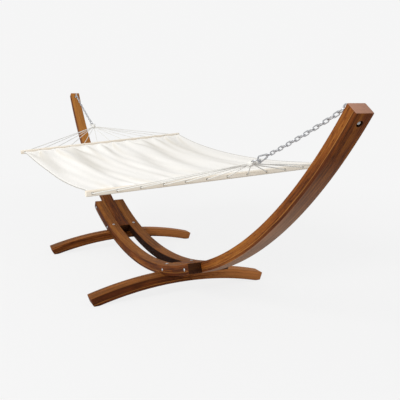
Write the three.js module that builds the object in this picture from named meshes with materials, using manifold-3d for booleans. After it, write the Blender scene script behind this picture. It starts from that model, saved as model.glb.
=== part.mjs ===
// A hammock bed slung between the two raised ends of a bent laminated-wood stand.
// Millimetres, +Z up. The origin is on the floor, under the middle of the stand.
// +X runs along the stand towards the front arm, and +Y across it.
// The rear half is the front half turned half a turn about Z.
import * as THREE from 'three';
import { mergeVertices } from 'three/addons/utils/BufferGeometryUtils.js';
import Module from 'manifold-3d';

const wasm = await Module();
wasm.setup();

// Clearances between pieces that touch.
const seatGap = 0.3;
const boltGap = 0.3;

// Corners closer than this are one corner, and a run that bends less is straight.
const weldDistance = 1e-3;
const straightWithin = 1e-6;

// The arc that both arms and both rails follow.
const arcRadius = 2527;
const beamDepth = 61;
const beamWidth = 83;
const beamChamfer = 3;
const arcLift = 57.5;

// Arms lie between the rails, over a lap at each end. Lengths run along the arc.
const railLength = 1950;
const armLength = 1910;
const armLap = 440;
const sideBoltInset = 50;
const eyeFromTip = 46;

// Cross feet, arched so that only their ends touch the floor.
const footX = 565;
const footLength = 1146;
const footWidth = 92;
const footDepth = 61;
const footLand = 42;
const footCorner = 7;

// Dome-headed bolts with a washer and a nut.
const boltRadius = 4;
const boltHeadRadius = 10;
const boltHeadHeight = 4.5;
const boltTail = 2;
const washerRadius = 11;
const washerThickness = 2;
const nutRadius = 7.5;
const nutHeight = 6.5;
const counterboreRadius = 13;
const counterboreDepth = 14;

// Eye bolt through the tip of each arm.
const eyeInnerRadius = 9.5;
const eyeWireRadius = 3.5;
const eyeStandoff = 30;
const eyeCollarRadius = 9;
const eyeCollarThickness = 3;

// Chain of long links, hung in a shallow sag. Its first link swings on the eye's many-sided wire,
// so it gets more room there.
const linkCount = 17;
const linkWireRadius = 2.5;
const linkInnerLength = 31.3;
const linkInnerWidth = 10;
const linkBite = 0.4;
const linkSeatGap = 0.8;
const chainSlopeTop = THREE.MathUtils.degToRad(26.5);
const chainSlopeFoot = THREE.MathUtils.degToRad(22);

// Pear-shaped snap hook with a sprung gate.
const hookLength = 90;
const hookWidth = 38;
const hookWireRadius = 3.75;
const hookSmallRadius = 7;
const gatePivotReach = 11;
const hookNose = 3;
const gateRadius = 3;
const gateTongueThickness = 4;
const gateCheekThickness = 1.6;
const gateRivetRadius = 1.5;
const gateRivetHead = 0.8;
const gateCheekLap = 4;
const gateBridge = 3.5;
const gateBarInset = 0.5;
const tongueRim = 0.5;
const tongueLap = 1;

// Ring that the harness is lashed to.
const ringRadius = 20;
const ringWireRadius = 3;

// Harness: one cord for each hole in the spreader bar, lashed together at the ring.
const cordRadius = 2.5;
const cordClearance = 0.5;
const cordCount = 12;
const cordSpread = 1.3;
const harnessReach = 370;
const harnessDrop = 126;
const lashingLength = 40;
const lashingRadius = 14;
const lashingEyeRadius = 5;
const lashingProfile = [[0, 0], [0.7, 0], [1, 0.12], [1.05, 0.5], [0.9, 0.85], [0.6, 1], [0, 1]];
const knotRadius = 6;

// Spreader bars.
const barOverhang = 20;
const barHeight = 30;
const barThickness = 22;
const barCorner = 7;
const barChamfer = 3;

// Canvas bed. It hangs a little higher on its +Y side, and is twisted so that the rear bar tilts more.
const bedTilt = 0.064;
const bedTwist = 0.013;
const canvasWidth = 1360;
const cordInset = 11.2;
const canvasThickness = 2;
const canvasSag = 52;
const canvasWaist = 14;
const hemRadius = 6;
const hemReach = 34;
const scallopDepth = 9;
const scallopDrop = 12;
const foldLength = 260;

// Loose folds that run along the bed. Each is a rise beside a dip. Its steep side crosses the middle
// of the bed at place, and drifts sideways towards the front. It fades out reach from its centre,
// both in shares of the bed's half length.
const canvasFolds = [
  { place: -618, drift: -45, width: 52, height: 6, centre: -0.5, reach: 0.55 },
  { place: -368, drift: -45, width: 62, height: 9, centre: -0.45, reach: 0.65 },
  { place: 25, drift: -150, width: 66, height: 6, centre: 0.1, reach: 0.6 },
  { place: 222, drift: -100, width: 62, height: 9, centre: -0.15, reach: 0.8 },
  { place: 475, drift: -60, width: 62, height: 8, centre: -0.3, reach: 0.75 },
];

// Sides of round sections, and steps round curves.
const boltSides = 8;
const linkSides = 5;
const wireSides = 6;
const cordSides = 6;
const arcSteps = 14;
const footSteps = 8;
const cornerSteps = 2;
const housingSides = 360;
const eyeSteps = 16;
const linkSteps = 4;
const hookBigSteps = 10;
const hookSmallSteps = 6;
const ringSteps = 18;
const lashingSteps = 12;
const knotSteps = 4;
const canvasSteps = 14;

// Worked-out places.
const innerRadius = arcRadius - beamDepth / 2;
const outerRadius = arcRadius + beamDepth / 2;
const arcCentreZ = outerRadius + arcLift;
const railEnd = railLength / 2 / arcRadius;
const armStart = railEnd - armLap / arcRadius;
const armEnd = armStart + armLength / arcRadius;
const eyeAngle = armEnd - eyeFromTip / arcRadius;
const sideBoltAngles = [armStart + sideBoltInset / arcRadius, railEnd - sideBoltInset / arcRadius];
const railY = beamWidth + seatGap;
const frameHalfWidth = railY + beamWidth / 2;
const footAngle = Math.asin(footX / outerRadius);
const undersideAt = (x) => arcCentreZ - Math.sqrt(outerRadius ** 2 - x ** 2);
const footRise = undersideAt(footX + footWidth / 2) - footDepth;
const eyeLoopRadius = eyeInnerRadius + eyeWireRadius;
const barLength = canvasWidth + 2 * barOverhang;
const cordPitch = (canvasWidth - 2 * cordInset) / (cordCount - 1);

const wood = new THREE.MeshStandardMaterial({ color: 0x7a4624, roughness: 0.55, metalness: 0 });
const paleWood = new THREE.MeshStandardMaterial({ color: 0xd9c9a8, roughness: 0.6, metalness: 0 });
const zinc = new THREE.MeshStandardMaterial({ color: 0xa7abae, roughness: 0.35, metalness: 1 });
const canvas = new THREE.MeshStandardMaterial({ color: 0xf3eddd, roughness: 0.95, metalness: 0 });
const cord = new THREE.MeshStandardMaterial({ color: 0xe9e4d6, roughness: 0.9, metalness: 0 });

const point = (x, y, z) => new THREE.Vector3(x, y, z);
const along = (from, direction, distance) => from.clone().addScaledVector(direction, distance);
const slopeDirection = (slope) => point(-Math.cos(slope), 0, -Math.sin(slope));
const onArc = (radius, angle, y = 0) =>
  point(radius * Math.sin(angle), y, arcCentreZ - radius * Math.cos(angle));
const awayFromCentre = (angle) => point(Math.sin(angle), 0, -Math.cos(angle));

// Shapes are drawn in local X and Y. These turn the sheet they are drawn on.
const xzSheet = new THREE.Matrix4().makeBasis(point(1, 0, 0), point(0, 0, 1), point(0, -1, 0));
const yzSheet = new THREE.Matrix4().makeBasis(point(0, 1, 0), point(0, 0, 1), point(1, 0, 0));

// Closed mesh to solid: shared corners are merged and triangles with no area dropped.
function toSolid(geometry) {
  const bare = geometry.clone();
  bare.deleteAttribute('normal');
  bare.deleteAttribute('uv');
  const merged = mergeVertices(bare, weldDistance);
  const index = merged.index.array;
  const corners = [];
  for (let i = 0; i < index.length; i += 3) {
    const [a, b, c] = [index[i], index[i + 1], index[i + 2]];
    if (a !== b && b !== c && c !== a) corners.push(a, b, c);
  }
  return new wasm.Manifold(new wasm.Mesh({
    numProp: 3,
    vertProperties: Float32Array.from(merged.attributes.position.array),
    triVerts: Uint32Array.from(corners),
  }));
}

function toGeometry(solid) {
  const mesh = solid.getMesh();
  const geometry = new THREE.BufferGeometry();
  geometry.setAttribute('position', new THREE.BufferAttribute(Float32Array.from(mesh.vertProperties), 3));
  geometry.setIndex(new THREE.BufferAttribute(Uint32Array.from(mesh.triVerts), 1));
  geometry.computeVertexNormals();
  return geometry;
}

function cut(geometry, ...tools) {
  return toGeometry(tools.reduce((body, tool) => body.subtract(toSolid(tool)), toSolid(geometry)));
}

function join(first, ...others) {
  return toGeometry(others.reduce((body, other) => body.add(toSolid(other)), toSolid(first)));
}

function addPiece(group, name, geometry, material) {
  const mesh = new THREE.Mesh(geometry, material);
  mesh.name = name;
  group.add(mesh);
  return mesh;
}

// Turns a shape made along +Y so that it runs along a direction from a place.
function aim(geometry, place, direction) {
  const turn = new THREE.Quaternion().setFromUnitVectors(point(0, 1, 0), direction.clone().normalize());
  return geometry.applyQuaternion(turn).translate(place.x, place.y, place.z);
}

function rod(from, to, radius, sides = 12) {
  const run = to.clone().sub(from);
  const geometry = new THREE.CylinderGeometry(radius, radius, run.length(), sides);
  return aim(geometry, from.clone().lerp(to, 0.5), run);
}

// A profile of [radius, height] pairs turned about +Y.
function turned(profile, sides = boltSides) {
  return new THREE.LatheGeometry(profile.map(([r, h]) => new THREE.Vector2(r, h)), sides);
}

// A round bar swept through a run of points. Rings are mitred at each bend, one side of every
// ring faces the reference direction, and a closed run joins its own start.
function sweep(points, radius, sides, reference, closed = false) {
  const count = points.length;
  const positions = [];
  const triangles = [];
  const at = (i) => points[(i + count) % count];
  const direction = (i, j) => at(j).clone().sub(at(i)).normalize();
  for (let i = 0; i < count; i += 1) {
    const before = closed || i > 0 ? direction(i - 1, i) : direction(i, i + 1);
    const after = closed || i < count - 1 ? direction(i, i + 1) : before;
    const heading = before.clone().add(after).normalize();
    const bend = after.clone().sub(before);
    const stretch = 1 / heading.dot(after) - 1;
    if (bend.length() > straightWithin) bend.normalize();
    const normal = reference.clone().cross(heading).normalize();
    const binormal = heading.clone().cross(normal);
    for (let k = 0; k < sides; k += 1) {
      const turn = (2 * Math.PI * k) / sides;
      const offset = normal.clone().multiplyScalar(radius * Math.cos(turn));
      offset.addScaledVector(binormal, radius * Math.sin(turn));
      offset.addScaledVector(bend, stretch * offset.dot(bend));
      positions.push(...points[i].clone().add(offset).toArray());
    }
  }
  const spans = closed ? count : count - 1;
  for (let i = 0; i < spans; i += 1) {
    for (let k = 0; k < sides; k += 1) {
      const [a, b] = [i * sides + k, i * sides + ((k + 1) % sides)];
      const [c, d] = [((i + 1) % count) * sides + k, ((i + 1) % count) * sides + ((k + 1) % sides)];
      triangles.push(a, b, d, a, d, c);
    }
  }
  for (let k = 1; !closed && k < sides - 1; k += 1) {
    const last = (count - 1) * sides;
    triangles.push(0, k + 1, k, last, last + k, last + k + 1);
  }
  const geometry = new THREE.BufferGeometry();
  geometry.setAttribute('position', new THREE.Float32BufferAttribute(positions, 3));
  geometry.setIndex(triangles);
  return geometry;
}

// A curved beam between two angles of the arc, with its long edges chamfered.
function arcBeam(from, to, y) {
  const quarter = Math.PI / 2;
  const outline = new THREE.Shape();
  outline.absarc(0, arcCentreZ, outerRadius, from - quarter, to - quarter, false);
  outline.absarc(0, arcCentreZ, innerRadius, to - quarter, from - quarter, true);
  const depth = beamWidth - 2 * beamChamfer;
  const geometry = new THREE.ExtrudeGeometry(outline, {
    depth, curveSegments: arcSteps, bevelThickness: beamChamfer, bevelSize: beamChamfer,
    bevelOffset: -beamChamfer, bevelSegments: 1,
  });
  return geometry.translate(0, 0, -depth / 2).applyMatrix4(xzSheet).translate(0, y, 0);
}

function sideBoltHole(angle) {
  const place = onArc(arcRadius, angle);
  const reach = frameHalfWidth + beamChamfer;
  return rod(point(place.x, -reach, place.z), point(place.x, reach, place.z), boltRadius + boltGap);
}

function radialHole(angle, y, radius, from, to) {
  return rod(onArc(from, angle, y), onArc(to, angle, y), radius);
}

const eyeSeat = outerRadius - counterboreDepth;

function arm() {
  return cut(
    arcBeam(armStart, armEnd, 0),
    ...sideBoltAngles.map(sideBoltHole),
    radialHole(eyeAngle, 0, eyeWireRadius + boltGap, innerRadius - beamDepth, outerRadius + beamDepth),
    radialHole(eyeAngle, 0, counterboreRadius, eyeSeat, outerRadius + beamDepth),
  );
}

function rail(y) {
  const bolts = sideBoltAngles.flatMap((angle) => [angle, -angle]).map(sideBoltHole);
  const footBolts = [footAngle, -footAngle].map((angle) =>
    radialHole(angle, y, boltRadius + boltGap, innerRadius - beamDepth, outerRadius + beamDepth));
  return cut(arcBeam(-railEnd, railEnd, y), ...bolts, ...footBolts);
}

// How far the nut seat in the foot lies below the rail, along the bolt.
const footGrip = (undersideAt(footX) - footRise) / Math.cos(footAngle) - counterboreDepth;
const footNutSeat = outerRadius + seatGap + footGrip;

// An arched foot. Its crown is housed to the slope of the beams that stand in it.
function foot() {
  const landY = footLength / 2 - footLand;
  const radius = (landY ** 2 + footRise ** 2) / (2 * footRise);
  const centreZ = footRise - radius;
  const endAngle = Math.asin(footLength / 2 / (radius + footDepth / 2));
  const landAngle = Math.asin(landY / radius);
  const top = radius + footDepth;
  const upright = Math.PI / 2;
  const onEnd = (r, side) => [side * r * Math.sin(endAngle), centreZ + r * Math.cos(endAngle)];
  const soleRadius = -centreZ / Math.cos(endAngle);
  const outline = new THREE.Shape();
  outline.absarc(0, centreZ, radius, upright + landAngle, upright - landAngle, true);
  outline.lineTo(...onEnd(soleRadius, 1));
  outline.lineTo(...onEnd(top - footCorner, 1));
  const cornerAngle = footCorner / top;
  outline.absarc(0, centreZ, top, upright - endAngle + cornerAngle, upright + endAngle - cornerAngle, false);
  outline.lineTo(...onEnd(top - footCorner, -1));
  outline.lineTo(...onEnd(soleRadius, -1));
  const depth = footWidth - 2 * beamChamfer;
  const plank = new THREE.ExtrudeGeometry(outline, {
    depth, curveSegments: footSteps, bevelThickness: beamChamfer, bevelSize: beamChamfer,
    bevelOffset: -beamChamfer, bevelSegments: 1,
  });
  plank.translate(0, 0, -depth / 2).applyMatrix4(yzSheet).translate(footX, 0, 0);
  const housing = new THREE.CylinderGeometry(outerRadius + seatGap, outerRadius + seatGap,
    2 * (frameHalfWidth + seatGap), housingSides);
  housing.translate(0, 0, arcCentreZ);
  const holes = [-railY, railY].flatMap((y) => [
    radialHole(footAngle, y, boltRadius + boltGap, innerRadius, outerRadius + 2 * footDepth),
    radialHole(footAngle, y, counterboreRadius, footNutSeat, outerRadius + 2 * footDepth),
  ]);
  return cut(plank, housing, ...holes);
}

// Fasteners are made along +Y with the head's seat at the origin and the nut below it.
function boltShape(grip) {
  const tip = -(grip + washerThickness + nutHeight + 2 * seatGap + boltTail);
  const dome = [0, 1, 2, 3].map((step) => {
    const turn = (step / 3) * (Math.PI / 2);
    return [boltHeadRadius * Math.cos(turn), seatGap + 1 + (boltHeadHeight - 1) * Math.sin(turn)];
  });
  dome[3][0] = 0;
  return turned([[0, tip], [boltRadius, tip], [boltRadius, seatGap], [boltHeadRadius, seatGap], ...dome]);
}

function washerShape(grip, bore) {
  const [low, high] = [-(grip + seatGap + washerThickness), -(grip + seatGap)];
  return turned([[bore, low], [washerRadius, low], [washerRadius, high], [bore, high], [bore, low]]);
}

function nutShape(grip, bore) {
  const middle = -(grip + 2 * seatGap + washerThickness + nutHeight / 2);
  const hexagon = new THREE.CylinderGeometry(nutRadius, nutRadius, nutHeight, 6);
  const hole = new THREE.CylinderGeometry(bore, bore, 2 * nutHeight, boltSides);
  return cut(hexagon, hole).translate(0, middle, 0);
}

function addBolt(group, name, place, direction, grip) {
  const towardsHead = direction.clone().negate();
  const bore = boltRadius + boltGap;
  addPiece(group, `${name}_bolt`, aim(boltShape(grip), place, towardsHead), zinc);
  addPiece(group, `${name}_washer`, aim(washerShape(grip, bore), place, towardsHead), zinc);
  addPiece(group, `${name}_nut`, aim(nutShape(grip, bore), place, towardsHead), zinc);
}

function addFrameBolts(group, end) {
  for (const [side, y] of [['left', -railY], ['right', railY]]) {
    const place = onArc(innerRadius, footAngle, y);
    const grip = beamDepth + seatGap + footGrip;
    addBolt(group, `foot_${end}_${side}`, place, awayFromCentre(footAngle), grip);
  }
  sideBoltAngles.forEach((angle, i) => {
    const place = onArc(arcRadius, angle, -frameHalfWidth);
    addBolt(group, `splice_${end}_${i === 0 ? 'inner' : 'outer'}`, place, point(0, 1, 0), 2 * frameHalfWidth);
  });
}

// The eye bolt's loop lies in the XZ plane, and its shank runs out through the arm.
const eyeCentre = onArc(innerRadius - eyeStandoff, eyeAngle);

function eyeBolt() {
  const outward = awayFromCentre(eyeAngle);
  const loop = new THREE.TorusGeometry(eyeLoopRadius, eyeWireRadius, wireSides, eyeSteps);
  loop.rotateX(Math.PI / 2).translate(...eyeCentre.toArray());
  const tip = onArc(eyeSeat + 2 * seatGap + washerThickness + nutHeight + boltTail, eyeAngle);
  const shank = rod(along(eyeCentre, outward, eyeLoopRadius), tip, eyeWireRadius);
  const collarSeat = onArc(innerRadius - seatGap, eyeAngle);
  const collar = rod(along(collarSeat, outward, -eyeCollarThickness), collarSeat, eyeCollarRadius);
  return join(loop, shank, collar);
}

function addEyeBolt(group, end) {
  const inward = awayFromCentre(eyeAngle).negate();
  const place = onArc(eyeSeat, eyeAngle);
  const bore = eyeWireRadius + boltGap;
  addPiece(group, `eye_bolt_${end}`, eyeBolt(), zinc);
  addPiece(group, `eye_washer_${end}`, aim(washerShape(0, bore), place, inward), zinc);
  addPiece(group, `eye_nut_${end}`, aim(nutShape(0, bore), place, inward), zinc);
}

// One link around a centreline of two half circles, in the plane of heading and side.
function link(start, heading, side) {
  const radius = linkInnerWidth / 2 + linkWireRadius;
  const straight = linkInnerLength - linkInnerWidth;
  const path = [];
  for (const [far, turnFrom] of [[0, Math.PI / 2], [straight, -Math.PI / 2]]) {
    for (let i = 0; i <= linkSteps; i += 1) {
      const turn = turnFrom + (Math.PI * i) / linkSteps;
      const place = along(start, heading, radius + far + radius * Math.cos(turn));
      path.push(place.addScaledVector(side, radius * Math.sin(turn)));
    }
  }
  return sweep(path, linkWireRadius, linkSides, heading.clone().cross(side), true);
}

// Links turn a quarter from one to the next. Each bites a little into the next one, so that the
// whole chain is one body.
const linkStep = linkInnerLength + linkBite;
const linkSpan = linkInnerLength + 2 * linkWireRadius;
const chainReach = eyeInnerRadius - linkWireRadius - linkSeatGap;
const chainStart = along(eyeCentre, slopeDirection(chainSlopeTop), chainReach);

function chain() {
  const links = [];
  const across = point(0, 1, 0);
  let start = chainStart;
  let foot = start;
  for (let i = 0; i < linkCount; i += 1) {
    const share = i / (linkCount - 1);
    const heading = slopeDirection(chainSlopeTop + (chainSlopeFoot - chainSlopeTop) * share);
    const side = i % 2 === 0 ? across : across.clone().cross(heading);
    links.push(link(start, heading, side));
    foot = along(start, heading, linkSpan);
    start = along(start, heading, linkStep);
  }
  return { geometry: join(...links), foot };
}

const hungChain = chain();

// The hook's own plane: a runs from the bed towards the chain, b runs upwards.
const hookA = slopeDirection(chainSlopeFoot).negate();
const hookB = point(-hookA.z, 0, hookA.x);
const hookBigRadius = hookWidth / 2 - hookWireRadius;
const hookSpan = hookLength - 2 * hookWireRadius - hookBigRadius - hookSmallRadius;
const hookTaper = Math.asin((hookBigRadius - hookSmallRadius) / hookSpan);
const hookCrown = along(hungChain.foot, hookA, linkWireRadius + hookWireRadius + seatGap);
const hookOrigin = along(hookCrown, hookA, -(hookSpan + hookSmallRadius));
const onHook = (a, b, y = 0) =>
  along(hookOrigin, hookA, a).addScaledVector(hookB, b).add(point(0, y, 0));
const gateSmall = [hookSpan + hookSmallRadius * Math.sin(hookTaper), -hookSmallRadius * Math.cos(hookTaper)];
const gateBig = [hookBigRadius * Math.sin(hookTaper), -hookBigRadius * Math.cos(hookTaper)];
const gateLine = new THREE.Vector2(gateBig[0] - gateSmall[0], gateBig[1] - gateSmall[1]);
const gateRun = gateLine.length() - gatePivotReach - hookNose;
gateLine.normalize();
const onGate = (distance, y = 0) => {
  const reach = gatePivotReach + distance;
  return onHook(gateSmall[0] + gateLine.x * reach, gateSmall[1] + gateLine.y * reach, y);
};
const tongueRadius = hookWireRadius + tongueRim;
const rivetClearance = gateRivetRadius + boltGap;

function hook() {
  const path = [onGate(gateRun)];
  const quarter = Math.PI / 2;
  for (let i = 0; i <= hookBigSteps; i += 1) {
    const turn = -(quarter - hookTaper) - ((Math.PI + 2 * hookTaper) * i) / hookBigSteps;
    path.push(onHook(hookBigRadius * Math.cos(turn), hookBigRadius * Math.sin(turn)));
  }
  for (let i = 0; i <= hookSmallSteps; i += 1) {
    const turn = quarter - hookTaper - ((Math.PI - 2 * hookTaper) * i) / hookSmallSteps;
    path.push(onHook(hookSpan + hookSmallRadius * Math.cos(turn), hookSmallRadius * Math.sin(turn)));
  }
  path.push(onGate(-(tongueRadius + seatGap + tongueLap)));
  const wire = sweep(path, hookWireRadius, wireSides, point(0, 1, 0));
  const half = gateTongueThickness / 2;
  const tongue = rod(onGate(0, -half), onGate(0, half), tongueRadius);
  const neck = new THREE.BoxGeometry(2 * tongueRadius, 2 * gateRadius, gateTongueThickness);
  const shank = aimBox(neck, onGate(-tongueRadius));
  return cut(join(wire, tongue, shank), rod(onGate(0, -hookWidth), onGate(0, hookWidth), rivetClearance));
}

// Lays a box so that its X runs along the gate and its Z across the hook.
function aimBox(geometry, place) {
  const run = onGate(1).sub(onGate(0));
  const across = point(0, 1, 0);
  const basis = new THREE.Matrix4().makeBasis(run, across.clone().cross(run), across);
  return geometry.applyMatrix4(basis).translate(place.x, place.y, place.z);
}

// The gate's two cheeks straddle the hook's tongue, and its rivet runs through both.
function gate() {
  const inner = gateTongueThickness / 2 + seatGap;
  const outer = inner + gateCheekThickness;
  const cheekRun = tongueRadius + seatGap + gateCheekLap;
  const barStart = tongueRadius + seatGap + gateBarInset;
  const parts = [rod(onGate(barStart), onGate(gateRun - seatGap), gateRadius, boltSides)];
  for (const side of [-1, 1]) {
    parts.push(rod(onGate(0, side * inner), onGate(0, side * outer), gateRadius, boltSides));
    const plate = new THREE.BoxGeometry(cheekRun, 2 * gateRadius, gateCheekThickness);
    parts.push(aimBox(plate, onGate(cheekRun / 2, (side * (inner + outer)) / 2)));
  }
  const bridge = new THREE.BoxGeometry(gateBridge, 2 * gateRadius, 2 * outer);
  parts.push(aimBox(bridge, onGate(cheekRun - gateBridge / 2)));
  const rivetReach = outer + gateRivetHead;
  parts.push(rod(onGate(0, -rivetReach), onGate(0, rivetReach), gateRivetRadius, boltSides));
  return join(...parts);
}

// The ring lies across the hook, and its far side carries the lashing.
const ringCentre = onHook(-(hookBigRadius - hookWireRadius - ringWireRadius - seatGap) - ringRadius, 0);
const ringBedSide = along(ringCentre, hookA, -ringRadius);

function ring() {
  const geometry = new THREE.TorusGeometry(ringRadius, ringWireRadius, wireSides, ringSteps);
  const basis = new THREE.Matrix4().makeBasis(hookA, point(0, 1, 0), hookB);
  return geometry.applyMatrix4(basis).translate(ringCentre.x, ringCentre.y, ringCentre.z);
}

// The bar hangs from the ring by the harness.
const barPlace = point(ringBedSide.x - harnessReach, 0, ringBedSide.z - harnessDrop);
const harnessAxis = ringBedSide.clone().sub(barPlace).normalize();
const harnessNormal = point(-harnessAxis.z, 0, harnessAxis.x);
const lashingEyeLoop = ringWireRadius + seatGap + lashingEyeRadius;
const cordY = (i) => (i - (cordCount - 1) / 2) * cordPitch;
const hemX = barPlace.x - barThickness / 2 - hemReach;
const slack = (y) => Math.cos((Math.PI * y) / cordPitch) ** 2;
const slackY = (y) => (cordCount % 2 === 0 ? y : y + cordPitch / 2);

// Rim of the canvas at one end: pulled out at each cord, slack between cords.
const rimAt = (y) => {
  const loose = slack(slackY(y));
  return { x: hemX - scallopDepth * loose, drop: scallopDrop * loose };
};

function harness(tilt) {
  const mouth = along(ringBedSide, harnessAxis, -(lashingEyeLoop + lashingLength));
  const level = point(0, Math.cos(tilt), Math.sin(tilt));
  const onBar = (x, y) => along(point(x, 0, barPlace.z), level, y);
  const parts = [];
  for (let i = 0; i < cordCount; i += 1) {
    const y = cordY(i);
    const knot = onBar(rimAt(y).x + hemRadius + seatGap + knotRadius, y);
    const outlet = onBar(barPlace.x + barThickness / 2 + 2 * cordRadius, y);
    const inLashing = along(mouth, harnessAxis, lashingLength / 3);
    inLashing.addScaledVector(point(0, 1, 0), (y / cordPitch) * cordSpread);
    inLashing.addScaledVector(harnessNormal, i % 2 === 0 ? cordRadius : -cordRadius);
    parts.push(sweep([knot, outlet, inLashing], cordRadius, cordSides, point(0, 0, 1)));
    const ball = new THREE.SphereGeometry(knotRadius, cordSides, knotSteps).rotateZ(Math.PI / 2);
    parts.push(ball.translate(...knot.toArray()));
  }
  const lashing = turned(lashingProfile.map(([r, h]) => [r * lashingRadius, h * lashingLength]));
  const eye = new THREE.TorusGeometry(lashingEyeLoop, lashingEyeRadius, wireSides, lashingSteps);
  eye.rotateX(Math.PI / 2).translate(...ringBedSide.toArray());
  return join(aim(lashing, mouth, harnessAxis), eye, ...parts);
}

function spreaderBar() {
  const [w, h, r] = [barThickness / 2, barHeight / 2, barCorner];
  const outline = new THREE.Shape();
  outline.absarc(w - r, h - r, r, 0, Math.PI / 2, false);
  outline.absarc(-w + r, h - r, r, Math.PI / 2, Math.PI, false);
  outline.absarc(-w + r, -h + r, r, Math.PI, 1.5 * Math.PI, false);
  outline.absarc(w - r, -h + r, r, 1.5 * Math.PI, 2 * Math.PI, false);
  const depth = barLength - 2 * barChamfer;
  const geometry = new THREE.ExtrudeGeometry(outline, {
    depth, curveSegments: cornerSteps, bevelThickness: barChamfer, bevelSize: barChamfer,
    bevelOffset: -barChamfer, bevelSegments: 1,
  });
  geometry.translate(0, 0, -depth / 2).applyMatrix4(xzSheet);
  const holes = [];
  for (let i = 0; i < cordCount; i += 1) {
    const [from, to] = [point(-barThickness, cordY(i), 0), point(barThickness, cordY(i), 0)];
    holes.push(rod(from, to, cordRadius + cordClearance, cordSides));
  }
  return cut(geometry, ...holes);
}

// Places across the canvas: its two edges, every cord and every slack middle between two cords.
function acrossCanvas() {
  const places = [];
  const last = cordCount - 1;
  for (let k = -last; k <= last; k += 1) places.push((k * cordPitch) / 2);
  return [-canvasWidth / 2, ...places, canvasWidth / 2];
}

// Height of the loose folds, which the bars pull flat at both ends.
function foldHeight(share, y) {
  let height = 0;
  for (const fold of canvasFolds) {
    const across = (y - fold.place - fold.drift * share) / fold.width;
    const fade = Math.exp(-(((share - fold.centre) / fold.reach) ** 4));
    height -= fold.height * across * Math.exp((1 - across ** 2) / 2) * fade;
  }
  return height * (1 - share ** 8);
}

// A place on the canvas, from the level of the bars' middle. Its tilt follows the bars' from end to end.
function canvasPoint(share, y) {
  const rim = rimAt(y);
  const reach = rim.x - hemRadius - seatGap;
  const x = share * reach;
  const nearEnd = Math.exp(-(reach - Math.abs(x)) / foldLength);
  const waist = 1 - ((canvasWaist * 2) / canvasWidth) * (1 - share ** 2);
  const height = -canvasSag * (1 - share ** 2) - rim.drop * nearEnd + foldHeight(share, y);
  const place = point(x, y * waist, height);
  return place.applyAxisAngle(point(1, 0, 0), bedTilt - bedTwist * share);
}

function canvasBed() {
  const across = acrossCanvas();
  const rows = canvasSteps + 1;
  const positions = [];
  const triangles = [];
  for (const face of [0.5, -0.5]) {
    for (let i = 0; i < rows; i += 1) {
      const share = Math.sin((Math.PI / 2) * ((2 * i) / canvasSteps - 1));
      for (const y of across) {
        const place = canvasPoint(share, y);
        positions.push(place.x, place.y, place.z + face * canvasThickness);
      }
    }
  }
  const columns = across.length;
  const at = (face, i, k) => face * rows * columns + i * columns + k;
  const patch = (a, b, c, d) => triangles.push(a, b, c, a, c, d);
  for (let i = 0; i < canvasSteps; i += 1) {
    for (let k = 0; k < columns - 1; k += 1) {
      patch(at(0, i, k), at(0, i + 1, k), at(0, i + 1, k + 1), at(0, i, k + 1));
      patch(at(1, i, k), at(1, i, k + 1), at(1, i + 1, k + 1), at(1, i + 1, k));
    }
    patch(at(1, i, 0), at(1, i + 1, 0), at(0, i + 1, 0), at(0, i, 0));
    const edge = columns - 1;
    patch(at(0, i, edge), at(0, i + 1, edge), at(1, i + 1, edge), at(1, i, edge));
  }
  for (let k = 0; k < columns - 1; k += 1) {
    patch(at(0, 0, k), at(0, 0, k + 1), at(1, 0, k + 1), at(1, 0, k));
    const last = canvasSteps;
    patch(at(1, last, k), at(1, last, k + 1), at(0, last, k + 1), at(0, last, k));
  }
  const geometry = new THREE.BufferGeometry();
  geometry.setAttribute('position', new THREE.Float32BufferAttribute(positions, 3));
  geometry.setIndex(triangles);
  return geometry;
}

// The rolled hem that holds the cords follows the rim.
function endHem() {
  const path = acrossCanvas().map((y) => {
    const rim = rimAt(y);
    return point(rim.x, y, -rim.drop);
  });
  return sweep(path, hemRadius, cordSides, point(0, 0, 1));
}

// Sets a piece of the bed at the bars' level, with a tilt.
function layOnBed(mesh, tilt) {
  mesh.position.z = barPlace.z;
  mesh.rotation.x = tilt;
}

function addEnd(end, tilt) {
  const group = new THREE.Group();
  addPiece(group, `arm_${end}`, arm(), wood);
  addPiece(group, `foot_${end}`, foot(), wood);
  addFrameBolts(group, end);
  addEyeBolt(group, end);
  addPiece(group, `chain_${end}`, hungChain.geometry, zinc);
  addPiece(group, `snap_hook_${end}`, hook(), zinc);
  addPiece(group, `hook_gate_${end}`, gate(), zinc);
  addPiece(group, `ring_${end}`, ring(), zinc);
  addPiece(group, `harness_${end}`, harness(tilt), cord);
  const bar = addPiece(group, `spreader_bar_${end}`, spreaderBar(), paleWood);
  layOnBed(bar, tilt);
  bar.position.x = barPlace.x;
  layOnBed(addPiece(group, `end_hem_${end}`, endHem(), canvas), tilt);
  return group;
}

const hammock = new THREE.Group();
addPiece(hammock, 'rail_left', rail(-railY), wood);
addPiece(hammock, 'rail_right', rail(railY), wood);
hammock.add(addEnd('front', bedTilt - bedTwist));
const rear = addEnd('rear', -(bedTilt + bedTwist));
rear.rotation.z = Math.PI;
hammock.add(rear);
layOnBed(addPiece(hammock, 'canvas_bed', canvasBed(), canvas), 0);

// Places that the moving pieces turn about, all in the front half.
const swingZ = along(eyeCentre, slopeDirection(chainSlopeTop), eyeInnerRadius).z;
hammock.userData = {
  swingZ,
  rollZ: ringBedSide.z,
  gatePivot: onGate(0).toArray(),
  eyeCentre: eyeCentre.toArray(),
  hookCentre: hookOrigin.toArray(),
  ringCentre: ringCentre.toArray(),
  bar: barPlace.toArray(),
  hemX,
};

export default hammock;
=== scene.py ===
from math import asin, cos, hypot, pi, radians, sin, sqrt
import bpy
import bmesh
import numpy as np
from mathutils import Matrix, Vector


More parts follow.
